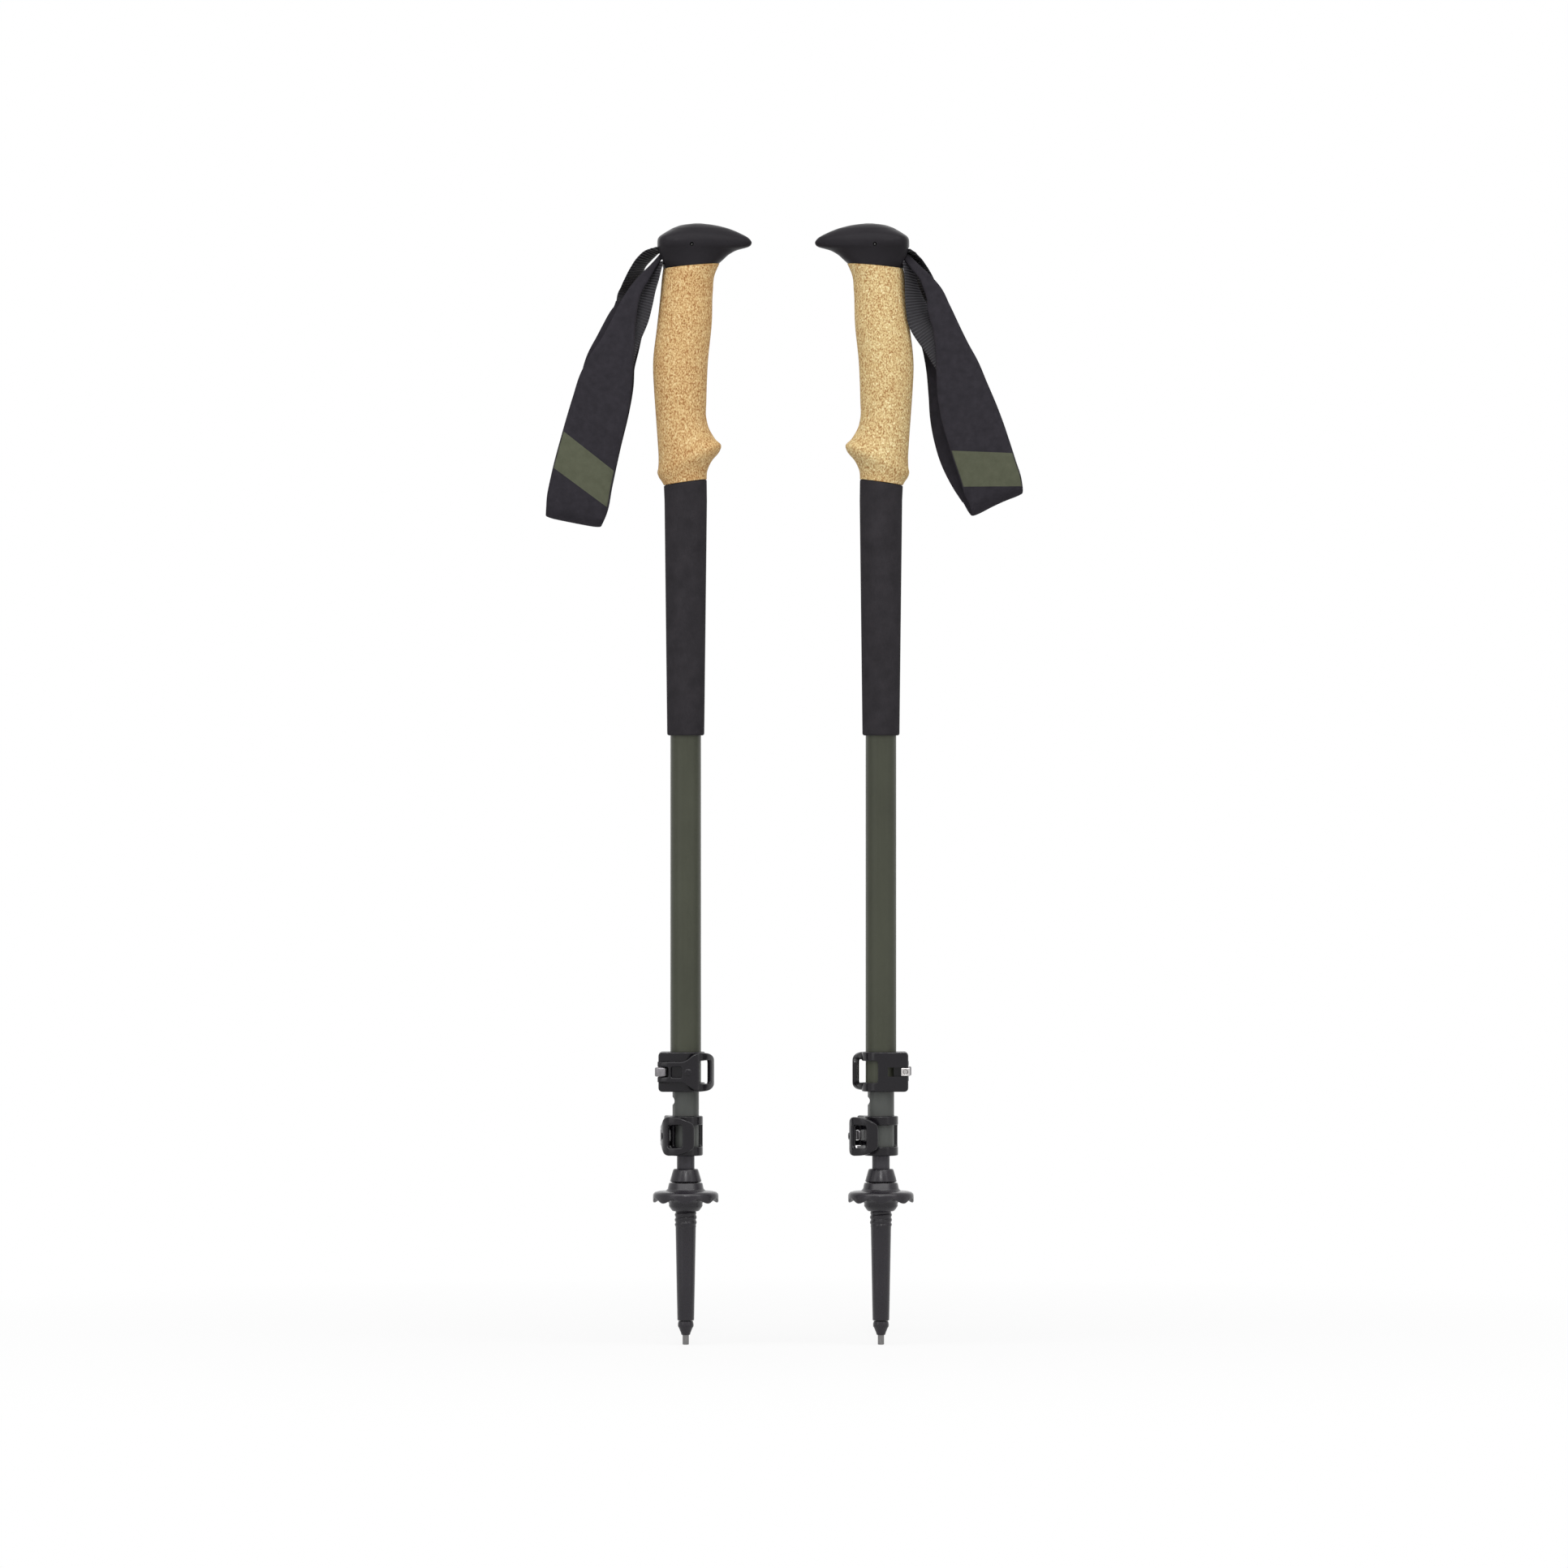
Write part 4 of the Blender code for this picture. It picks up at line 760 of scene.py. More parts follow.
def band_finish():
    """Close-knit strap cloth with a plain printed stripe across its outer face, and painted shade between
    its threads.
    """
    material, tree, shader = principled("band_fabric", 0.88, specular=0.1)
    across, along, face = strap_lie(tree)
    weave = woven(tree, across, 0.00055, along, 0.00045)
    fuzz = rescale(tree, noise(tree, object_place(tree), 260, 4), 0.3, 0.7)
    cloth = blend(tree, fuzz, (0.024, 0.022, 0.027), (0.034, 0.031, 0.038))
    stripe = add_node(tree, "ShaderNodeAttribute", {}, attribute_name="stripe").outputs["Fac"]
    inside = rescale(tree, stripe, -0.00008, 0.00008)
    inside = math_node(tree, "MULTIPLY", inside, rescale(tree, face, 0.4, 0.6))
    ink = blend(tree, fuzz, (0.095, 0.101, 0.066), (0.113, 0.120, 0.080))
    colour = blend(tree, inside, cloth, ink)
    # Painted shade: darker in the hollows between the threads.
    colour = blend(tree, rescale(tree, weave, 0.0, 1.0, 0.22, 0.0), colour, (0.010, 0.009, 0.011))
    paint_colour(tree, shader, colour)
    bump(tree, shader, weave, 0.25, 0.0001)
    return material


def webbing_finish():
    """Ribbed nylon webbing, with painted light and shade: lighter and darker in step with its ribs."""
    material, tree, shader = principled("webbing", 0.6, specular=0.2)
    across, along, _ = strap_lie(tree)
    yarn = woven(tree, across, 0.0008, along, 0.0005)
    # Painted light and shade: the colour runs from dark to light in step with the ribs.
    painted_rib_shading = rescale(tree, thread_wave(tree, along, RIB_PITCH), 0.45, 0.9)
    colour = blend(tree, painted_rib_shading, (0.009, 0.008, 0.010), (0.062, 0.060, 0.066))
    dull = math_node(tree, "MULTIPLY", yarn, 0.4)
    paint_colour(tree, shader, blend(tree, dull, colour, (0.02, 0.019, 0.022)))
    bump(tree, shader, yarn, 0.3, 0.00012)
    return material


def steel_finish(name, colour, roughness, grain):
    """Bare metal with fine tooling lines."""
    material, tree, shader = principled(name, roughness, metallic=1.0)
    lines = noise(tree, drawn_out(tree, object_place(tree), 0.15), grain, 3)
    worn = rescale(tree, lines, 0.35, 0.65)
    paint_colour(tree, shader, blend(tree, worn, toned(colour, 0.78), colour))
    vary_roughness(tree, shader, lines, roughness - 0.08, roughness + 0.1)
    bump(tree, shader, lines, 0.12, 0.00005)
    return material


PAINT = {
    "carbide": steel_finish("carbide", (0.22, 0.215, 0.215), 0.5, 2600),
    "tip_plastic": moulded("tip_plastic", (0.014, 0.012, 0.016), 0.27, 0.04, 0.36),
    "clamp_plastic": moulded("clamp_plastic", (0.006, 0.005, 0.007), 0.20, 0.02, 0.30),
    # Steel of the clamps' pins and links, darker than bare steel: painted shade for the shadow they sit in
    # inside the levers.
    "steel": steel_finish("steel", (0.24, 0.23, 0.24), 0.38, 3200),
    "adjuster": steel_finish("adjuster", (0.60, 0.58, 0.57), 0.30, 3200),
    # Darker still for the strap pin: painted shade of the hole it sits in.
    "shade_painted_steel": steel_finish("shade_painted_steel", (0.10, 0.10, 0.10), 0.30, 3200),
    "black_tube": anodised("black_tube", (0.048, 0.045, 0.052), 0.42),
    "grey_green_tube": anodised("grey_green_tube", (0.074, 0.078, 0.073), 0.40),
    "olive_tube": anodised("olive_tube", (0.050, 0.053, 0.037), 0.40),
    "plug_plastic": moulded("plug_plastic", (0.06, 0.06, 0.06), 0.5, 0.10, 0.3),
    "foam": foam_finish(),
    "cork": cork_finish("cork", (1.0, 1.0, 1.0)),
    "pale_cork": cork_finish("pale_cork", (1.05, 1.17, 1.25)),
    "head_rubber": moulded("head_rubber", (0.018, 0.0165, 0.019), 0.32, 0.05, 0.05),
    "band_fabric": band_finish(),
    "webbing": webbing_finish(),
}


def turned(profile):
    """A body turned about the pole's axis from radii and heights."""
    return loft([circle(radius, z) for radius, z in profile], closed=True)


def carbide_tip(node):
    """Pin with a cupped biting end."""
    low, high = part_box(node)
    radius = CARBIDE_RADIUS
    shares = ((0.05, 0.5), (0.60, 0.3), (0.84, 0.0), (0.94, 0.05), (1.0, 0.2))
    profile = [(share * radius, low.z + rise * radius) for share, rise in shares]
    return turned([*profile, (radius, high.z), (0.05 * radius, high.z)])


def tip_ferrule(node):
    """Stepped nose that holds the carbide pin, with a soft bulge and a neck."""
    low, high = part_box(node)
    base = low.z
    rows = (
        (FERRULE_NOSE_RADIUS - 0.0004, 0.0000),
        (FERRULE_NOSE_RADIUS, 0.0004),
        (FERRULE_NOSE_RADIUS + 0.0001, 0.0011),
        (FERRULE_RADIUS - 0.0006, 0.0040),
        (FERRULE_RADIUS, 0.0050),
        (FERRULE_RADIUS, 0.0060),
        (FERRULE_RADIUS, 0.0064),
        (FERRULE_NECK_RADIUS, 0.0078),
        (FERRULE_NECK_RADIUS - 0.0003, 0.0080),
    )
    profile = [(radius, base + z) for radius, z in rows]
    bore = CARBIDE_RADIUS + FIT
    shank = FERRULE_SHANK_RADIUS
    profile += [(shank, base + 0.0080), (shank, high.z), (bore, high.z), (bore, base)]
    return turned(profile)


def flex_tip(node):
    """Tapered moulded tip: threaded below the basket, with a ringed cone above it."""
    low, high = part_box(node)
    thread = low.z + TIP_TAPER_LENGTH
    basket = thread + THREAD_LENGTH
    cone = high.z - CONE_HEIGHT
    bore = FERRULE_SHANK_RADIUS + FIT
    socket = high.z - SOCKET_DEPTH - FIT
    below = (
        (bore, low.z),
        (TIP_END_RADIUS - TIP_EDGE, low.z),
        (TIP_END_RADIUS - 0.3 * TIP_EDGE, low.z + 0.3 * TIP_EDGE),
        (TIP_END_RADIUS, low.z + TIP_EDGE),
        (TIP_END_RADIUS + 0.0004, low.z + 0.4 * TIP_TAPER_LENGTH),
        (THREAD_ROOT_RADIUS, thread),
    )
    above = (
        (THREAD_ROOT_RADIUS, basket),
        (THREAD_ROOT_RADIUS, cone),
        (CONE_BASE_RADIUS - 0.0010, cone),
        (CONE_BASE_RADIUS - 0.0002, cone + 0.0003),
        (CONE_BASE_RADIUS, cone + 0.0006),
        (CONE_BASE_RADIUS - 0.0001, cone + 0.0011),
        (CONE_TOP_RADIUS + 0.0002, high.z - 0.0009),
        (CONE_TOP_RADIUS, high.z - 0.0005),
        (CONE_TOP_RADIUS - 0.0003, high.z - 0.0001),
        (CONE_TOP_RADIUS - 0.0006, high.z),
        (SHAFT_END_RADIUS + FIT, high.z),
        (SOCKET_RADIUS + FIT, socket),
        (bore, socket),
    )
    rows = round(THREAD_ROWS_PER_TURN * THREAD_LENGTH / THREAD_PITCH)
    rings = [circle(*row) for row in below]
    rings += [thread_ring(thread + THREAD_LENGTH * row / rows, thread) for row in range(1, rows)]
    rings += [circle(*row) for row in above]
    return loft(rings, closed=True)


def thread_ring(z, start):
    """One row of the thread, whose crest climbs a pitch every turn and fades at both ends."""
    share = (z - start) / THREAD_LENGTH
    fade = min(1.0, 6 * share, 6 * (1 - share))
    ring = []
    for x, y, height in circle(1, z):
        phase = 2 * math.pi * (z - start) / THREAD_PITCH - math.atan2(y, x)
        painted_rib_shading = (0.5 + 0.5 * math.cos(phase)) ** 0.7
        radius = THREAD_ROOT_RADIUS + fade * THREAD_DEPTH * painted_rib_shading
        ring.append((radius * x, radius * y, height))
    return ring


def basket(node):
    """Hub and dished plate, whose rim hangs down in claws between scallops."""
    low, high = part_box(node)
    rim = (high.y - low.y) / 2
    height = high.z - low.z
    bore = THREAD_ROOT_RADIUS + THREAD_DEPTH + FIT
    dish = low.z + 0.50 * height
    crown = low.z + 0.78 * height
    wall = BASKET_WALL
    hub_foot = ((0, 0), (0.2, 0), (0.4, 0.02), (0.8, 0.12), (1, 0.18), (1, 0.28))
    profile = [(bore + out * HUB_WALL, low.z + up * height, 0) for out, up in hub_foot]
    profile.append((bore + HUB_WALL + 0.7 * wall, low.z + 0.37 * height, 0))
    # In walls from the rim and from the dish, and then the share of the claws' drop.
    for out, up, drop in (
        (-3.2, -0.7, 0.25),
        (-1.6, -0.8, 0.75),
        (-0.9, -1.0, 1.0),
        (-0.3, -1.05, 1.0),
        (0, -0.7, 0.9),
        (0, 0.5, 0),
        (-0.12, 1.1, 0),
        (-0.7, 1.7, 0),
        (-2.0, 2.05, 0),
    ):
        profile.append((rim + out * wall, dish + up * wall, drop))
    for out, z in (
        (1.3, crown - 0.7 * wall),
        (0.75, crown - 0.2 * wall),
        (0.45, crown + 0.2 * wall),
        (0.1, high.z - 0.3 * wall),
        (-0.2, high.z),
    ):
        profile.append((HUB_TOP_RADIUS + out * wall, z, 0))
    profile.append((bore, high.z, 0))
    rings = []
    for radius, z, drop in profile:
        ring = []
        for x, y, level in circle(radius, z, SIDES_PER_CLAW * BASKET_CLAWS):
            wave = (0.5 + 0.5 * math.cos(BASKET_CLAWS * math.atan2(y, x))) ** 0.8
            ring.append((x, y, level - drop * CLAW_DEPTH * (1.6 * wave - 0.6)))
        rings.append(ring)
    return loft(rings, closed=True)


def oval(front, rear, half_depth, beak=0.0, squareness=2.0):
    """A ring between front and rear points of a side outline. A beak narrows its front."""
    ring = []
    for i in range(GRIP_SIDES):
        angle = 2 * math.pi * i / GRIP_SIDES
        power = 1.0 if math.cos(angle) > 0 else 2 / squareness
        reach = math.copysign(abs(math.cos(angle)) ** power, math.cos(angle))
        spread = math.copysign(abs(math.sin(angle)) ** power, math.sin(angle))
        x, z = Vector(rear).lerp(Vector(front), 0.5 + 0.5 * reach)
        ring.append((x, half_depth * spread * (1 - beak * math.cos(angle)), z))
    return ring


def outline_rows(rows, steps):
    """Rows of a side outline with smooth rows between them, evenly spread up its middle."""
    middles = [(row[1] + row[3]) / 2 for row in rows]
    return eased(rows, middles, np.linspace(middles[0], middles[-1], steps))


def outline_ring(row, base, height, squareness=2.0):
    """The ring at a row of a side outline, whose heights are shares of the piece's height."""
    front_x, front_z, rear_x, rear_z, *depths = row
    front = (front_x, base + height * front_z)
    rear = (rear_x, base + height * rear_z)
    return oval(front, rear, *depths, squareness=squareness)


def bore_ring(low, slant):
    """The rim of a grip's bore in a slanted end."""
    return oval((GRIP_BORE, low + slant), (-GRIP_BORE, low), GRIP_BORE)


def foam_sleeve(node, cork_base):
    """Tapered sleeve with a rounded foot and a slanted oval top."""
    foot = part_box(node)[0].z
    top = cork_base - FIT
    profile = [(GRIP_BORE, foot)]
    profile += [(FOAM_END_RADIUS - inset, foot + rise) for rise, inset in quarter_round(FOAM_EDGE)]
    for row in range(1, FOAM_ROWS):
        share = row / FOAM_ROWS
        radius = FOAM_END_RADIUS + (FOAM_TOP_RADIUS - FOAM_END_RADIUS) * share
        profile.append((radius, foot + FOAM_EDGE + (top - FOAM_FLARE - foot) * share))
    rings = [circle(radius, z, GRIP_SIDES) for radius, z in profile]
    front_x, _, rear_x, _, half_depth = CORK_RINGS[0]
    for inset, drop in ((0, FOAM_TOP_EDGE), (FOAM_TOP_EDGE, 0)):
        front = (front_x - inset, top + CORK_FOOT_SLANT - drop)
        rings.append(oval(front, (rear_x + inset, top - drop), half_depth - inset))
    rings.append(bore_ring(top, CORK_FOOT_SLANT))
    return loft(rings, closed=True)


def cork_grip(base):
    """Cork handle: a finger shelf at its foot, a palm swell and a flared top."""
    front, rear, half_depth = GRIP_TOP
    top = (front, 1 + CORK_TOP_SLANT / CORK_LENGTH, rear, 1.0, half_depth)
    rows = outline_rows((*CORK_RINGS, top), CORK_ROWS)
    rings = [outline_ring(row, base, CORK_LENGTH) for row in rows]
    rings.append(bore_ring(base + CORK_LENGTH, CORK_TOP_SLANT))
    rings.append(bore_ring(base, CORK_FOOT_SLANT))
    return loft(rings, closed=True)


def grip_head(node, base):
    """Rubbery head with a beak, a slot for the strap and a bore for the strap's pin."""
    front, rear, half_depth = GRIP_TOP
    foot = (front, CORK_TOP_SLANT / HEAD_HEIGHT, rear, 0.0, half_depth, 0.0)
    rings = []
    for row in outline_rows((foot, *HEAD_RINGS), HEAD_ROWS):
        rear_z = row[3]
        blunt = 2 + (HEAD_REAR_SQUARENESS - 2) * max(0.0, 1 - rear_z**4)
        if rear_z < HEAD_RINGS[0][3]:
            blunt = 2 + (blunt - 2) * max(0.0, rear_z / HEAD_RINGS[0][3])
        rings.append(outline_ring(row, base, HEAD_HEIGHT, blunt))
    head = add_object(f"{node}_finished", loft(rings))
    far = 4 * SLOT_WIDTH
    half = SLOT_WIDTH / 2
    floor = base + SLOT_FLOOR
    carve(head, rod(SPIGOT_RADIUS, base - SPIGOT_LENGTH, base + SLOT_FLOOR / 2 + FIT), "UNION")
    carve(head, block((-far, -half, floor), (SLOT_FRONT, half, floor + SLOT_HEIGHT)))
    carve(head, block((ROOM_START, -half, floor), (ROOM_END, half, floor + ROOM_HEIGHT)))
    bore = STRAP_PIN_RADIUS + FIT / 2
    carve(head, cross_rod(bore, STRAP_PIN_X, base + STRAP_PIN_HEIGHT, -far, far))
    round_edges(head, HEAD_EDGE, 2, HEAD_EDGE_ANGLE)
    return head


def strap_pin(node, base):
    """Cross pin in the head, domed at both ends."""
    low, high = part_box(node)
    half = (high.y - low.y) / 2
    rings = []
    for share, depth in ((0.3, 0.0), (0.8, 0.15), (1.0, 0.45)):
        rings.append(circle(share * STRAP_PIN_RADIUS, half - depth * STRAP_PIN_RADIUS))
    rings += [[(x, y, -z) for x, y, z in ring] for ring in reversed(rings)]
    return lay_along_y(loft(rings), STRAP_PIN_X, base + STRAP_PIN_HEIGHT)


def rounded_corner(before, corner, after, start_reach, end_reach, steps=6):
    """Points round a corner of a plane outline, from a reach before it to a reach after it."""
    here = Vector(corner)
    start = here + (Vector(before) - here).normalized() * start_reach
    end = here + (Vector(after) - here).normalized() * end_reach
    shares = [step / steps for step in range(steps + 1)]
    return [start.lerp(here, share).lerp(here.lerp(end, share), share) for share in shares]


def filleted(corners):
    """A closed outline through corners of x, y and how far from each its rounding starts and ends."""
    outline = []
    for i, (x, y, *reach) in enumerate(corners):
        after = corners[(i + 1) % len(corners)]
        outline += rounded_corner(corners[i - 1][:2], (x, y), after[:2], reach[0], reach[-1])
    return outline


def rounded_window(start, end, half, reach):
    """The outline of a window with rounded corners, from start to end."""
    return filleted([(start, -half, reach), (end, -half, reach), (end, half, reach), (start, half, reach)])


def drawn_in(outline, inset):
    """An outline moved to its right, which is into the material."""
    points = np.array(outline, float)
    ahead = unit(np.roll(points, -1, axis=0) - points)
    after = np.stack([ahead[:, 1], -ahead[:, 0]], axis=1)
    before = np.roll(after, 1, axis=0)
    return points + inset * (before + after) / (1 + np.sum(before * after, axis=1))[:, None]


def plate(outlines, thickness, edge, cuts):
    """A flat plate with holes and rounded edges, cut across at each x so that it can be bent."""
    shape = bmesh.new()
    rims = ([], [])
    for outline in outlines:
        rows = []
        for inset, z in rim_profile(thickness / 2, edge):
            rows.append([shape.verts.new((x, y, z)) for x, y in drawn_in(outline, inset)])
        for low, high in zip(rows, rows[1:]):
            for i in range(len(low)):
                shape.faces.new((low[i - 1], low[i], high[i], high[i - 1]))
        for rim, row in zip(rims, (rows[0], rows[-1])):
            rim += [shape.edges.get((row[i - 1], row[i])) for i in range(len(row))]
    for rim in rims:
        bmesh.ops.triangle_fill(shape, use_beauty=True, edges=rim)
    for cut in cuts:
        whole = shape.verts[:] + shape.edges[:] + shape.faces[:]
        bmesh.ops.bisect_plane(shape, geom=whole, plane_co=(cut, 0, 0), plane_no=(1, 0, 0))
    bmesh.ops.recalc_face_normals(shape, faces=shape.faces)
    return shape


def lever_outlines(stations):
    """Flat outlines of a lever: its edge, its arm window and its loop window."""
    pin, fork, window_start, window_end, flare, loop, loop_start, _, _, loop_end, _, end = stations
    edge = [
        (fork, FORK_HALF, 0.0012),
        (pin, FORK_HALF, 0.0012),
        (pin, ARM_HALF, 0.0014),
        (flare - 0.0012, ARM_HALF, 0.0030),
        (loop + 0.0002, LOOP_HALF, 0.0030),
        (end - LOOP_TIP, LOOP_SHOULDER_HALF, 0.0050, 0.0042),
        (end, LOOP_END_HALF, 0.0026),
    ]
    edge += [(x, -y, *reach[::-1]) for x, y, *reach in reversed(edge)]
    arm_window = rounded_window(window_start + 0.0002, window_end + 0.0007, FORK_HALF + 0.0002, 0.0012)
    loop_window = rounded_window(loop_start, loop_end, LOOP_WINDOW_HALF, 0.0018)
    return [filleted(edge), arm_window, loop_window]


def lever_path(clamp, radius, pin):
    """Places along a lever's middle in plan, from its pin to the end of its loop."""
    path = [(pin.x, pin.y - CAM_RADIUS + LEVER_THICKNESS / 2)]
    start = math.atan2(pin.y, pin.x)
    for degrees, standoff in LEVER_PATH:
        angle = start + (math.radians(degrees) - start) * LEVER_STRETCH[clamp]
        reach = radius + standoff
        path.append((reach * math.cos(angle), reach * math.sin(angle)))
    path[1] = (max(path[1][0], pin.x + LINK_EYE_RADIUS + 2 * FIT), path[1][1])
    return path


def bend(shape, path):
    """Bends a flat plate so that its x runs along a path in plan and its y becomes height."""
    stations = lengths(path)
    flat = np.array([vertex.co for vertex in shape.verts])
    places = eased(path, stations, flat[:, 0])
    past, short = [eased(path, stations, flat[:, 0] + shift) for shift in (2e-5, -2e-5)]
    ahead = unit(past - short)
    for vertex, place, way in zip(shape.verts, places, ahead):
        out = vertex.co.z
        vertex.co = (place[0] + way[1] * out, place[1] - way[0] * out, vertex.co.y)
    bmesh.ops.recalc_face_normals(shape, faces=shape.faces)


def boss(place):
    """A low domed boss on a flat lever, whose outer face is towards +z."""
    rise = LEVER_THICKNESS / 2
    rings = []
    for share, lift in ((1.0, -0.5), (0.97, 0.25), (0.86, 0.62), (0.66, 0.86), (0.38, 0.97), (0.1, 1.0)):
        ring = circle(share * BOSS_RADIUS, rise + lift * BOSS_HEIGHT, 24)
        rings.append([(x + place, y, z) for x, y, z in ring])
    return loft(rings)


def add_shell(obj, shape):
    """Adds a separate closed shell to an object's mesh."""
    extra = bpy.data.meshes.new("shell")
    shape.to_mesh(extra)
    shape.free()
    whole = bmesh.new()
    whole.from_mesh(obj.data)
    whole.from_mesh(extra)
    whole.to_mesh(obj.data)
    whole.free()
    bpy.data.meshes.remove(extra)


def lever(name, clamp, radius, pin):
    """Cam lever: fork, arm and pull loop bent round the collar, with knuckles on the pin."""
    path = lever_path(clamp, radius, pin)
    stations = lengths(path)
    cuts = np.arange(LEVER_BEND_STEP, stations[-1], LEVER_BEND_STEP)
    shape = plate(lever_outlines(stations), LEVER_THICKNESS, LEVER_EDGE, cuts)
    bend(shape, path)
    obj = add_object(name, shape)
    for low, high in ((FORK_HALF, ARM_HALF), (-ARM_HALF, -FORK_HALF)):
        carve(obj, rod(KNUCKLE_RADIUS, low, high, pin, 0.5 * LEVER_EDGE), "UNION")
    carve(obj, rod(PIN_RADIUS + FIT / 2, -CLAMP_HEIGHT, CLAMP_HEIGHT, pin))
    dome = boss(stations[BOSS_STATION] + BOSS_SHIFT)
    bend(dome, path)
    add_shell(obj, dome)
    flatten_shading(obj)
    return obj


def collar_outline(radius, z):
    """Plan at a height of a collar with two ears towards -x, drawn in at its rounded rims."""
    rim = abs(z) - CLAMP_HEIGHT / 2
    inset = rounded_off(rim, COLLAR_EDGE)
    reach = radius - inset
    face = radius - EAR_STEP - inset
    end = rounded_off(rim, EAR_ROUND) - (radius + EAR_REACH)
    side = math.pi - math.asin(face / reach)
    angles = [-side + 2 * side * step / ROUND for step in range(ROUND + 1)]
    outline = [(reach * math.cos(angle), reach * math.sin(angle), z) for angle in angles]
    corner = EAR_CORNER - 0.5 * inset
    outline += rounded_corner(outline[-1], (end, face, z), (end, -face, z), corner, corner)
    outline += rounded_corner((end, face, z), (end, -face, z), outline[0], corner, corner)
    return outline


def rounded_off(rim, radius):
    """How far a rounded rim draws a side in, from its height over the rim, which is below 0."""
    depth = max(0.0, radius + rim)
    return radius - math.sqrt(max(0.0, radius**2 - depth**2))


def window_cutter(inner, surface, outer, half):
    """A cutter for a collar's window, which opens out at the collar's surface to round its edge."""
    low, high = [math.radians(angle) for angle in COLLAR_WINDOW]
    profile = [(inner, 0.0)]
    profile += [(surface - depth, grown) for grown, depth in quarter_round(WINDOW_EDGE)]
    profile.append((outer, WINDOW_EDGE))
    rings = []
    for distance, grown in profile:
        start = low * surface - grown
        end = high * surface + grown
        flat = rounded_window(start, end, half + grown, WINDOW_CORNER + grown)
        ring = []
        for i, point in enumerate(flat):
            after = flat[(i + 1) % len(flat)]
            for step in range(WINDOW_STEPS):
                round_by, z = point.lerp(after, step / WINDOW_STEPS)
                angle = round_by / surface
                ring.append((distance * math.cos(angle), distance * math.sin(angle), z))
        rings.append(ring)
    return loft(rings)


def collar(name, clamp, radius, pin):
    """Open-framed collar, split on one side between two ears, with rounded rims."""
    half = CLAMP_HEIGHT / 2
    bore = TUBE_RADIUS[clamp] + FIT
    far = 3 * radius
    heights = [z for edge in (COLLAR_EDGE, EAR_ROUND) for _, z in rim_profile(half, edge, 5)]
    rings = [collar_outline(radius, z) for z in sorted(set(heights))]
    obj = add_object(name, loft(rings))
    inside = ((INNER_RADIUS[clamp] + FIT, -far), (INNER_RADIUS[clamp] + FIT, COLLAR_LIP - half))
    inside += ((bore, COLLAR_LIP - half), (bore, far))
    carve(obj, loft([circle(reach, z) for reach, z in inside]))
    carve(obj, window_cutter(0.6 * bore, radius, far, half - COLLAR_RING))
    arm_room = ARM_HALF + FIT
    cam_seat = pin.y + CAM_RADIUS + FIT
    link_room = LINK_HALF + FIT
    head_room = ADJUSTER_HEIGHT / 2 + FIT
    shank_room = ADJUSTER_SHANK_RADIUS + FIT
    for low, high in (
        ((-far, -EAR_SPLIT / 2, -far), (0, EAR_SPLIT / 2, far)),
        ((-far, -far, -arm_room), (pin.x + 1.5 * CAM_RADIUS, cam_seat, arm_room)),
        ((-far, -far, -link_room), (pin.x + LINK_EYE_RADIUS + FIT, 0, link_room)),
        ((-far, ADJUSTER_SEAT, -head_room), (ADJUSTER_CHANNEL_X, far, head_room)),
        ((-far, -EAR_SPLIT, -shank_room), (pin.x + shank_room, far, shank_room)),
    ):
        carve(obj, block(low, high))
    flatten_shading(obj)
    return obj


def tongue(radius):
    """A ring between a circle and a square."""
    ring = []
    for x, y, z in circle(1, 0):
        power = (abs(x) ** LINK_SQUARENESS + abs(y) ** LINK_SQUARENESS) ** (1 / LINK_SQUARENESS)
        ring.append((radius * x / power, radius * y / power, z))
    return ring


def link(name, pin):
    """Steel link: an eye on the lever's pin and a threaded shank through the ears."""
    half = LINK_SHANK / 2
    end = EAR_SPLIT / 2
    rings = []
    for inset, z in rim_profile(LINK_HALF, LINK_EDGE):
        rings.append([(pin.x + x, pin.y + y, z) for x, y, _ in tongue(LINK_EYE_RADIUS - inset)])
    obj = add_object(name, loft(rings))
    carve(obj, block((pin.x - half, pin.y, -half), (pin.x + half, end, half)), "UNION")
    carve(obj, rod(PIN_RADIUS + FIT / 2, -CLAMP_HEIGHT, CLAMP_HEIGHT, pin))
    carve(obj, cross_rod(ADJUSTER_SHANK_RADIUS + FIT, pin.x, 0, end - LINK_BORE_DEPTH, CLAMP_HEIGHT))
    round_edges(obj, LINK_SHANK_EDGE)
    return obj


def adjuster(name, pin):
    """Square-headed adjuster with a round socket, threaded into the link."""
    seat = ADJUSTER_SEAT + FIT
    head = seat + ADJUSTER_LENGTH
    wide = ADJUSTER_WIDTH / 2
    tall = ADJUSTER_HEIGHT / 2
    shank_end = EAR_SPLIT / 2 - LINK_BORE_DEPTH + FIT
    obj = add_object(name, block((pin.x - wide, seat, -tall), (pin.x + wide, head, tall)))
    socket_end = head - 0.7 * ADJUSTER_LENGTH
    carve(obj, cross_rod(ADJUSTER_SHANK_RADIUS, pin.x, 0, shank_end, seat + ADJUSTER_LENGTH / 4), "UNION")
    carve(obj, cross_rod(ADJUSTER_SOCKET_RADIUS, pin.x, 0, socket_end, head + CLAMP_HEIGHT))
    round_edges(obj, ADJUSTER_EDGE)
    return obj


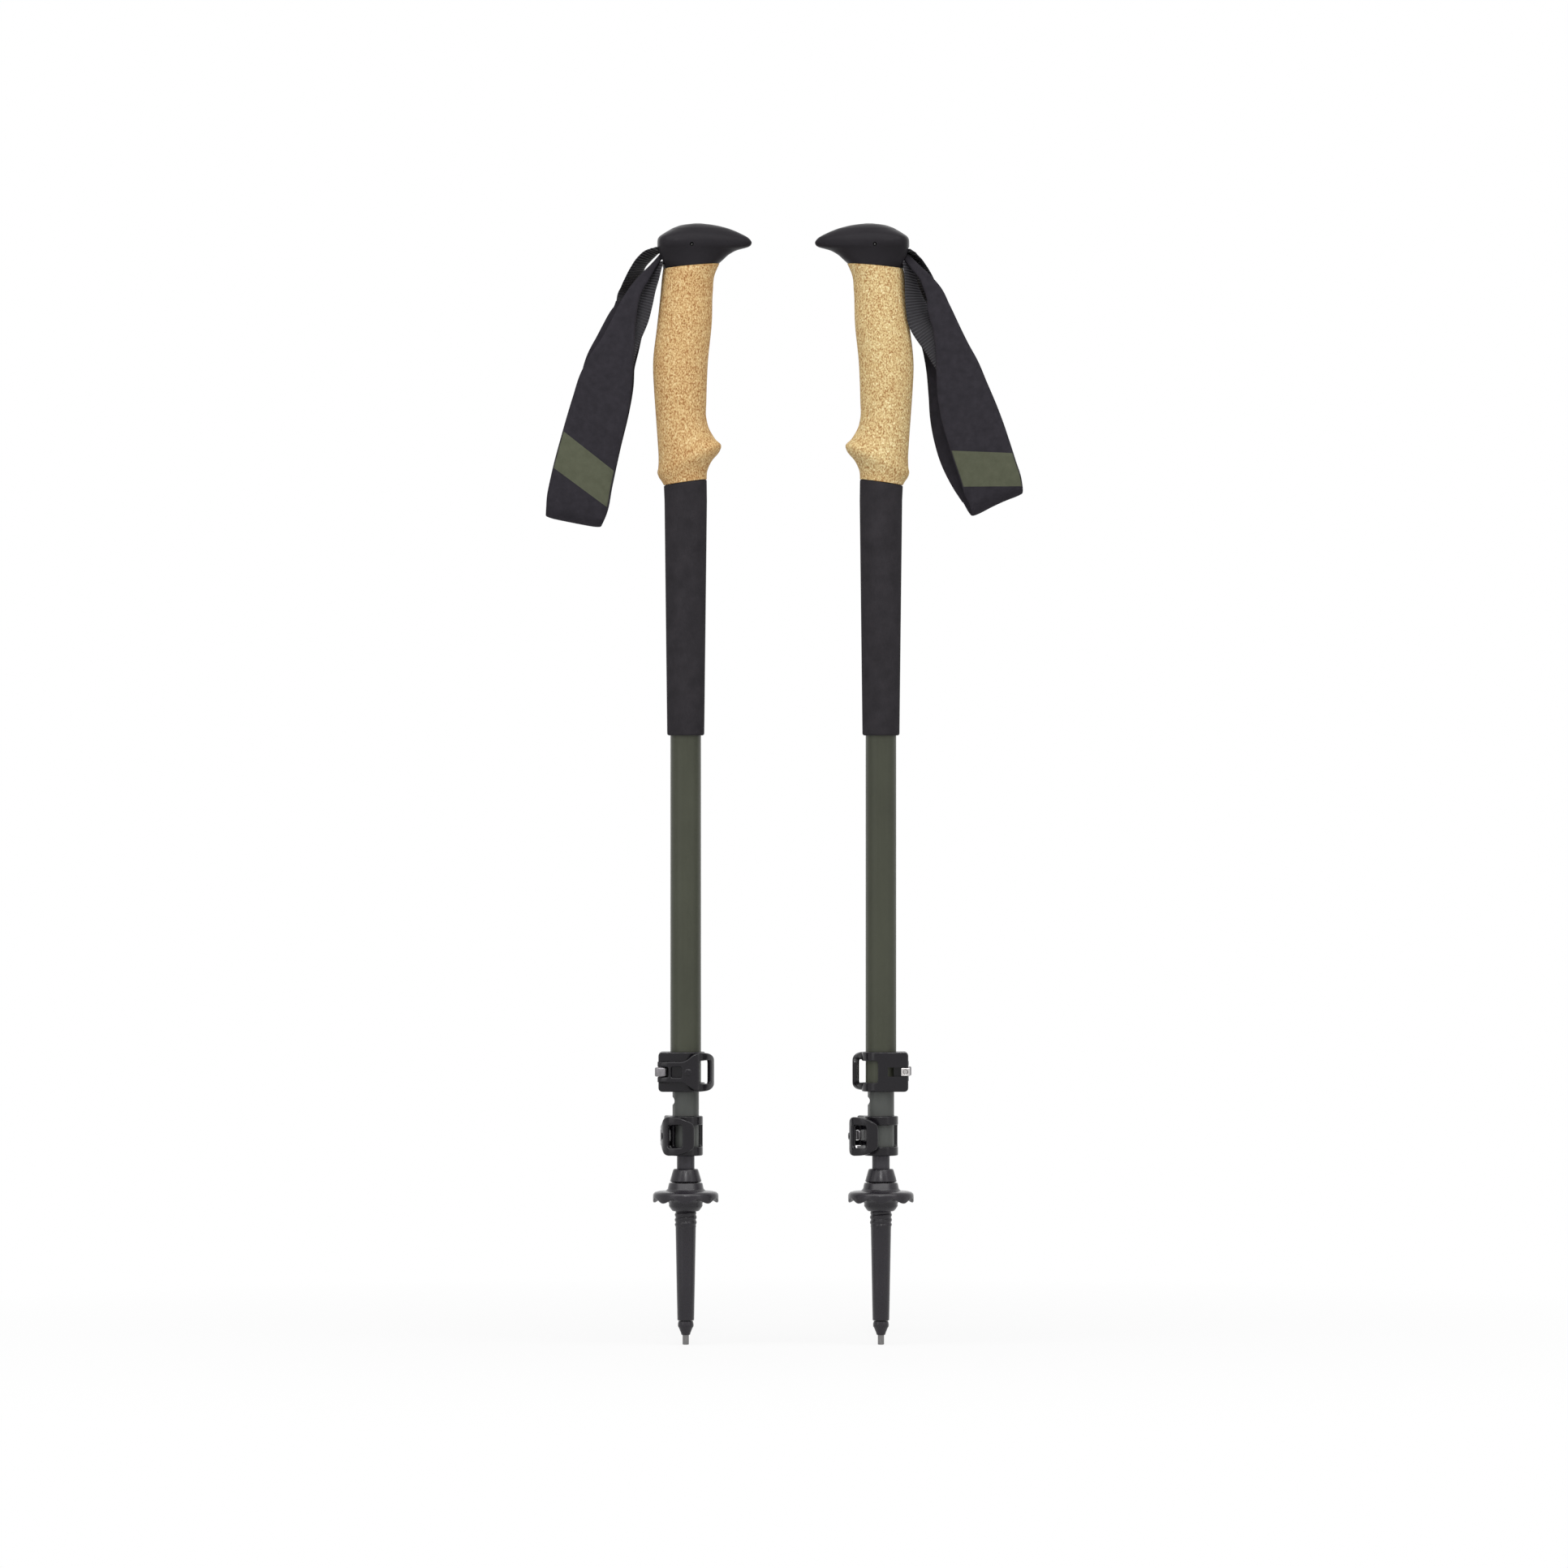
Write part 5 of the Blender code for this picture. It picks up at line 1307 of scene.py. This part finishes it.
def make_clamp(side, clamp, axis):
    """A clamp's five pieces, shaped in its own frame and turned to where its lever's pin is."""
    name = f"{side}_{clamp}_clamp"
    joint = JOINTS[f"{side}_{clamp}_lever_swing"]
    radius = TUBE_RADIUS[clamp] + FIT + COLLAR_WALL
    pin = Vector((-(radius + PIN_REACH), -(radius - PIN_STEP)))
    towards = Vector(joint["pos_m"][:2]) - axis
    turn = math.atan2(towards.y, towards.x) - math.atan2(pin.y, pin.x)
    place = Matrix.Translation((*axis, joint["pos_m"][2])) @ Matrix.Rotation(turn, 4, "Z")
    opened = math.radians(joint["range_deg"][0])
    swing = Matrix.Translation((*pin, 0)) @ Matrix.Rotation(opened, 4, "Z") @ Matrix.Translation((*-pin, 0))
    obj = collar(f"{name}_collar_finished", clamp, radius, pin)
    dress(obj, "clamp_plastic", f"{name}_collar", place=place)
    obj = lever(f"{name}_lever_finished", clamp, radius, pin)
    dress(obj, "clamp_plastic", f"{name}_lever", place=place @ swing)
    stand_in(f"{name}_pin", "steel", rod(PIN_RADIUS, -ARM_HALF, ARM_HALF, pin, PIN_EDGE), place)
    dress(link(f"{name}_link_finished", pin), "steel", f"{name}_link", place=place)
    obj = adjuster(f"{name}_adjuster_finished", pin)
    dress(obj, "steel", f"{name}_adjuster", place=place, paint="adjuster")
    return place


def middle_shaft(node, side, clamp_place):
    """Middle tube with a slit in its foot and a round notch below the upper clamp."""
    low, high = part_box(node)
    radius = TUBE_RADIUS["lower"]
    bore = radius - TUBE_WALL
    tube = turned(((radius, low.z), (radius, high.z), (bore, high.z), (bore, low.z)))
    obj = add_object(f"{node}_finished", tube)
    notch_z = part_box(f"{side}_upper_clamp_collar")[0].z - NOTCH_BELOW_CLAMP
    notch_x = radius - NOTCH_DEPTH + NOTCH_RADIUS
    towards = -1 if side == "left" else 1
    carve(obj, cross_rod(NOTCH_RADIUS, towards * notch_x, notch_z, -2 * radius, 2 * radius))
    slit = block((-2 * radius, -SLIT_WIDTH / 2, -CLAMP_HEIGHT), (0, SLIT_WIDTH / 2, 0))
    lift = low.z + SLIT_LENGTH
    place = Matrix.Translation((0, 0, lift)) @ clamp_place.to_3x3().to_4x4()
    bmesh.ops.transform(slit, matrix=place, verts=slit.verts)
    carve(obj, slit)
    return obj


def strap_point(x, drop, depth, front, base):
    """A place on a strap in the pole's own frame."""
    return Vector((x, front * depth, base + drop))


def heading(path, i):
    """The way along a path at one of its points."""
    return path[min(i + 1, len(path) - 1)] - path[max(i - 1, 0)]


def in_plane(path, i):
    """The direction across a strap in the pole's side view, towards the beak on the way down."""
    along = heading(path, i)
    return Vector((-along.z, 0, along.x)).normalized()


def webbing_stations(rows, front, leg, base):
    """Flat across the slot at the head, untwisting into the plane of the strap."""
    path = [strap_point(x, drop, leg * depth, front, base) for x, drop, depth, _ in rows]
    stations = []
    for i, row in enumerate(rows):
        flat = in_plane(path, i)
        viewer = heading(path, i).cross(flat).normalized()
        if viewer.y * front < 0:
            viewer.negate()
        turn = math.radians(row[3])
        across = flat * math.cos(turn) + viewer * math.sin(turn)
        stations.append((*path[i], *across, WEBBING_WIDTH))
    return stations


def band_stations(strap, front, base):
    """Down the front leg, round the fold at the bottom and up the back leg."""
    down = [strap_point(x, drop, depth, front, base) for x, drop, depth, _ in strap["front"]]
    up = [strap_point(x, drop, -depth, front, base) for x, drop, depth, _ in strap["back"]]
    stations = [(*point, *in_plane(down, i), strap["front"][i][3]) for i, point in enumerate(down)]
    width = (strap["front"][-1][3] + strap["back"][0][3]) / 2
    first = in_plane(down, len(down) - 1)
    last = in_plane(up, 0) * -1
    middle = down[-1].lerp(up[0], 0.5)
    lowest = strap_point(*strap["fold"], 0, front, base)
    for step in range(1, FOLD_STEPS):
        share = step / FOLD_STEPS
        angle = math.pi * share
        level = down[-1].lerp(up[0], 0.5 - 0.5 * math.cos(angle))
        centre = level + (lowest - middle) * math.sin(angle)
        narrowed = width * (1 - FOLD_NARROWING * math.sin(angle))
        stations.append((*centre, *first.lerp(last, share), narrowed))
    for i, point in enumerate(up):
        stations.append((*point, *(in_plane(up, i) * -1), strap["back"][i][3]))
    return stations


def strap_sections(stations, spacing, front):
    """Along a strap: how far, the centre, the directions across it and out of it, and its width."""
    knots = lengths([station[:3] for station in stations])
    places = np.linspace(0, knots[-1], max(2, round(knots[-1] / spacing)))
    rows = eased(stations, knots, places)
    centres = rows[:, :3]
    ways = unit(np.gradient(centres, places, axis=0))
    acrosses = unit(rows[:, 3:6] - ways * np.sum(rows[:, 3:6] * ways, axis=1)[:, None])
    normals = np.cross(ways, acrosses)
    on_first_leg = len(rows) // 4
    if normals[on_first_leg][1] * front < 0:
        normals = -normals
    return zip(places, centres, acrosses, normals, rows[:, 6])


def ribbon(name, stations, thickness, spacing, front, rib_depth=0.0):
    """A strap through stations, padded in the middle and thin at its edges, with its lie kept."""
    spread = np.sin(np.linspace(-math.pi / 2, math.pi / 2, STRAP_POINTS))
    rings = []
    lie = []
    for place, centre, across, normal, width in strap_sections(stations, spacing, front):
        half = width / 2
        thick = min(thickness, STRAP_STOUTNESS * width)
        rib = rib_depth * math.cos(2 * math.pi * place / RIB_PITCH)
        ring = []
        for face in (1, -1):
            for share in face * spread[:-1]:
                edge = max(0.0, 1 - abs(share) ** 8) ** 0.5
                crown = (1 - STRAP_CROWN * share**4) * edge
                lift = face * (thick / 2 + rib * edge) * crown
                ring.append(centre + across * (half * share) + normal * lift)
                lie.append((half * share, place, face * edge))
        rings.append(ring)
    obj = add_object(name, loft(rings))
    attribute = obj.data.attributes.new("lie", "FLOAT_VECTOR", "POINT")
    attribute.data.foreach_set("vector", np.array(lie, np.float32).ravel())
    return obj


def mark_stripe(obj, lines, base):
    """How far each point is inside the printed stripe, measured in the strap's side view."""
    (left, high, right, high_end), (low_left, low, low_right, low_end) = lines
    inside = []
    for vertex in obj.data.vertices:
        x = vertex.co.x
        drop = vertex.co.z - base
        top = high + (high_end - high) * (x - left) / (right - left)
        bottom = low + (low_end - low) * (x - low_left) / (low_right - low_left)
        inside.append(min(top - drop, drop - bottom))
    attribute = obj.data.attributes.new("stripe", "FLOAT", "POINT")
    attribute.data.foreach_set("value", np.array(inside, np.float32))


def make_strap(side, strap, front, base, place):
    """Padded band and two webbings, which come out of the head's slot and curve down outside it."""
    bodies = [frame["nodes"][f"{side}_{node}"]["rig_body"] for node in ("grip_head", "wrist_strap")]
    ends = [place @ strap_point(*end, 0, front, base) for end in (BEND_START, BEND_END)]
    across = (*bodies, *ends)
    stations = band_stations(strap, front, base)
    band = ribbon(f"{side}_strap_band", stations, BAND_THICKNESS, BAND_STEP, front)
    mark_stripe(band, strap["stripe"], base)
    dress(band, "band_fabric", f"{side}_wrist_strap", place=place, across=across)
    for part, leg in (("anchor", 1), ("adjust", -1)):
        stations = webbing_stations(strap[part], front, leg, base)
        node = f"{side}_{part}_webbing"
        step = RIB_PITCH / STEPS_PER_RIB
        obj = ribbon(f"{node}_finished", stations, WEBBING_THICKNESS, step, front, RIB_DEPTH)
        dress(obj, "webbing", node, place=place, across=across)


def make_pole(side, turn, strap, front, cork_paint):
    """All the pieces of a pole, whose front side is towards +Y or -Y of its own frame."""
    low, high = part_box(f"{side}_carbide_tip")
    axis = Vector(((low.x + high.x) / 2, (low.y + high.y) / 2))
    place = Matrix.Translation((*axis, 0)) @ Matrix.Rotation(turn, 4, "Z")
    cork_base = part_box(f"{side}_cork_grip")[0].z
    head_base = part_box(f"{side}_grip_head")[1].z - HEAD_HEIGHT

    for part, slot, make in (
        ("carbide_tip", "carbide", carbide_tip),
        ("tip_ferrule", "tip_plastic", tip_ferrule),
        ("flex_tip", "tip_plastic", flex_tip),
        ("trekking_basket", "tip_plastic", basket),
    ):
        node = f"{side}_{part}"
        stand_in(node, slot, make(node), place)
    for part, slot, width in (
        ("lower_shaft", "black_tube", 0),
        ("upper_shaft", "olive_tube", 0),
        ("lower_end_plug", "plug_plastic", PLUG_EDGE),
        ("middle_end_plug", "plug_plastic", PLUG_EDGE),
        ("strap_wedge", "plug_plastic", PLUG_EDGE),
    ):
        refine(f"{side}_{part}", slot, width)
    make_clamp(side, "upper", axis)
    lower_clamp = make_clamp(side, "lower", axis)
    node = f"{side}_middle_shaft"
    obj = middle_shaft(node, side, Matrix.Rotation(-turn, 4, "Z") @ lower_clamp)
    dress(obj, "grey_green_tube", node, place=place)

    node = f"{side}_foam_sleeve"
    stand_in(node, "foam", foam_sleeve(node, cork_base), place)
    stand_in(f"{side}_cork_grip", "cork", cork_grip(cork_base), place, cork_paint)
    node = f"{side}_grip_head"
    dress(grip_head(node, head_base), "head_rubber", node, place=place)
    # The strap pin wears the darkest steel, which is painted shade of its hole in the head.
    node = f"{side}_strap_pin"
    stand_in(node, "steel", strap_pin(node, head_base), place, "shade_painted_steel")
    make_strap(side, strap, front, head_base, place)


def add_camera():
    """Level camera in front of the poles, far enough away to show little perspective."""
    low, high = CAD_BOX
    centre = (low + high) / 2
    view_width = (high.z - low.z) / HEIGHT_IN_FRAME
    camera = bpy.data.objects.new("camera", bpy.data.cameras.new("camera"))
    camera.data.lens = LENS_MM
    camera.data.sensor_width = SENSOR_MM
    distance = view_width * LENS_MM / SENSOR_MM
    camera.location = (centre.x, centre.y - distance, centre.z)
    camera.rotation_euler = (math.pi / 2, 0, 0)
    camera.data.clip_end = 4 * distance
    bpy.context.scene.collection.objects.link(camera)
    bpy.context.scene.camera = camera


def add_lamp(name, place, size, power):
    """A rectangular lamp that faces the middle of the poles."""
    lamp = bpy.data.lights.new(name, "AREA")
    lamp.shape = "RECTANGLE"
    lamp.size, lamp.size_y = size
    lamp.energy = power
    obj = bpy.data.objects.new(name, lamp)
    obj.location = place
    obj.rotation_euler = (Vector(LAMP_TARGET) - Vector(place)).to_track_quat("-Z", "Y").to_euler()
    bpy.context.scene.collection.objects.link(obj)


def seen_directly(tree):
    """1 for camera, glossy and transmission rays, and 0 for the rest."""
    path = add_node(tree, "ShaderNodeLightPath", {}).outputs
    seen = math_node(tree, "MAXIMUM", path["Is Camera Ray"], path["Is Glossy Ray"])
    return math_node(tree, "MAXIMUM", seen, path["Is Transmission Ray"])


def add_surroundings():
    """White backdrop, pale floor and soft studio lamps."""
    world = bpy.data.worlds.new("studio")
    bpy.context.scene.world = world
    world.use_nodes = True
    tree = world.node_tree
    background = tree.nodes["Background"]
    background.inputs["Color"].default_value = (1, 1, 1, 1)
    level = rescale(tree, seen_directly(tree), 0, 1, WORLD_LEVEL, 1.0)
    tree.links.new(level, background.inputs["Strength"])

    floor = add_object("floor", block((-6, -6, -0.02), (6, 6, -0.0002)))
    material, tree, shader = principled("floor", 0.9, specular=0.1)
    shader.inputs["Base Color"].default_value = (0.85, 0.85, 0.85, 1)
    glow = add_node(tree, "ShaderNodeEmission", {"Color": (1, 1, 1, 1), "Strength": 1.0})
    away = add_node(tree, "ShaderNodeVectorMath", {0: object_place(tree)}, operation="LENGTH")
    shade = rescale(tree, away.outputs["Value"], 0.15, 0.7, 0.85, 1.0)
    share = math_node(tree, "MULTIPLY", seen_directly(tree), shade)
    inputs = {0: share, 1: shader.outputs["BSDF"], 2: glow.outputs["Emission"]}
    mixed = add_node(tree, "ShaderNodeMixShader", inputs)
    tree.links.new(mixed.outputs["Shader"], tree.nodes["Material Output"].inputs["Surface"])
    floor.data.materials.append(material)
    for lamp in LAMPS:
        add_lamp(*lamp)


add_camera()
make_pole("left", 0, LEFT_STRAP, -1, "cork")
make_pole("right", math.pi, RIGHT_STRAP, 1, "pale_cork")
add_surroundings()
bpy.context.scene.view_settings.view_transform = "Standard"
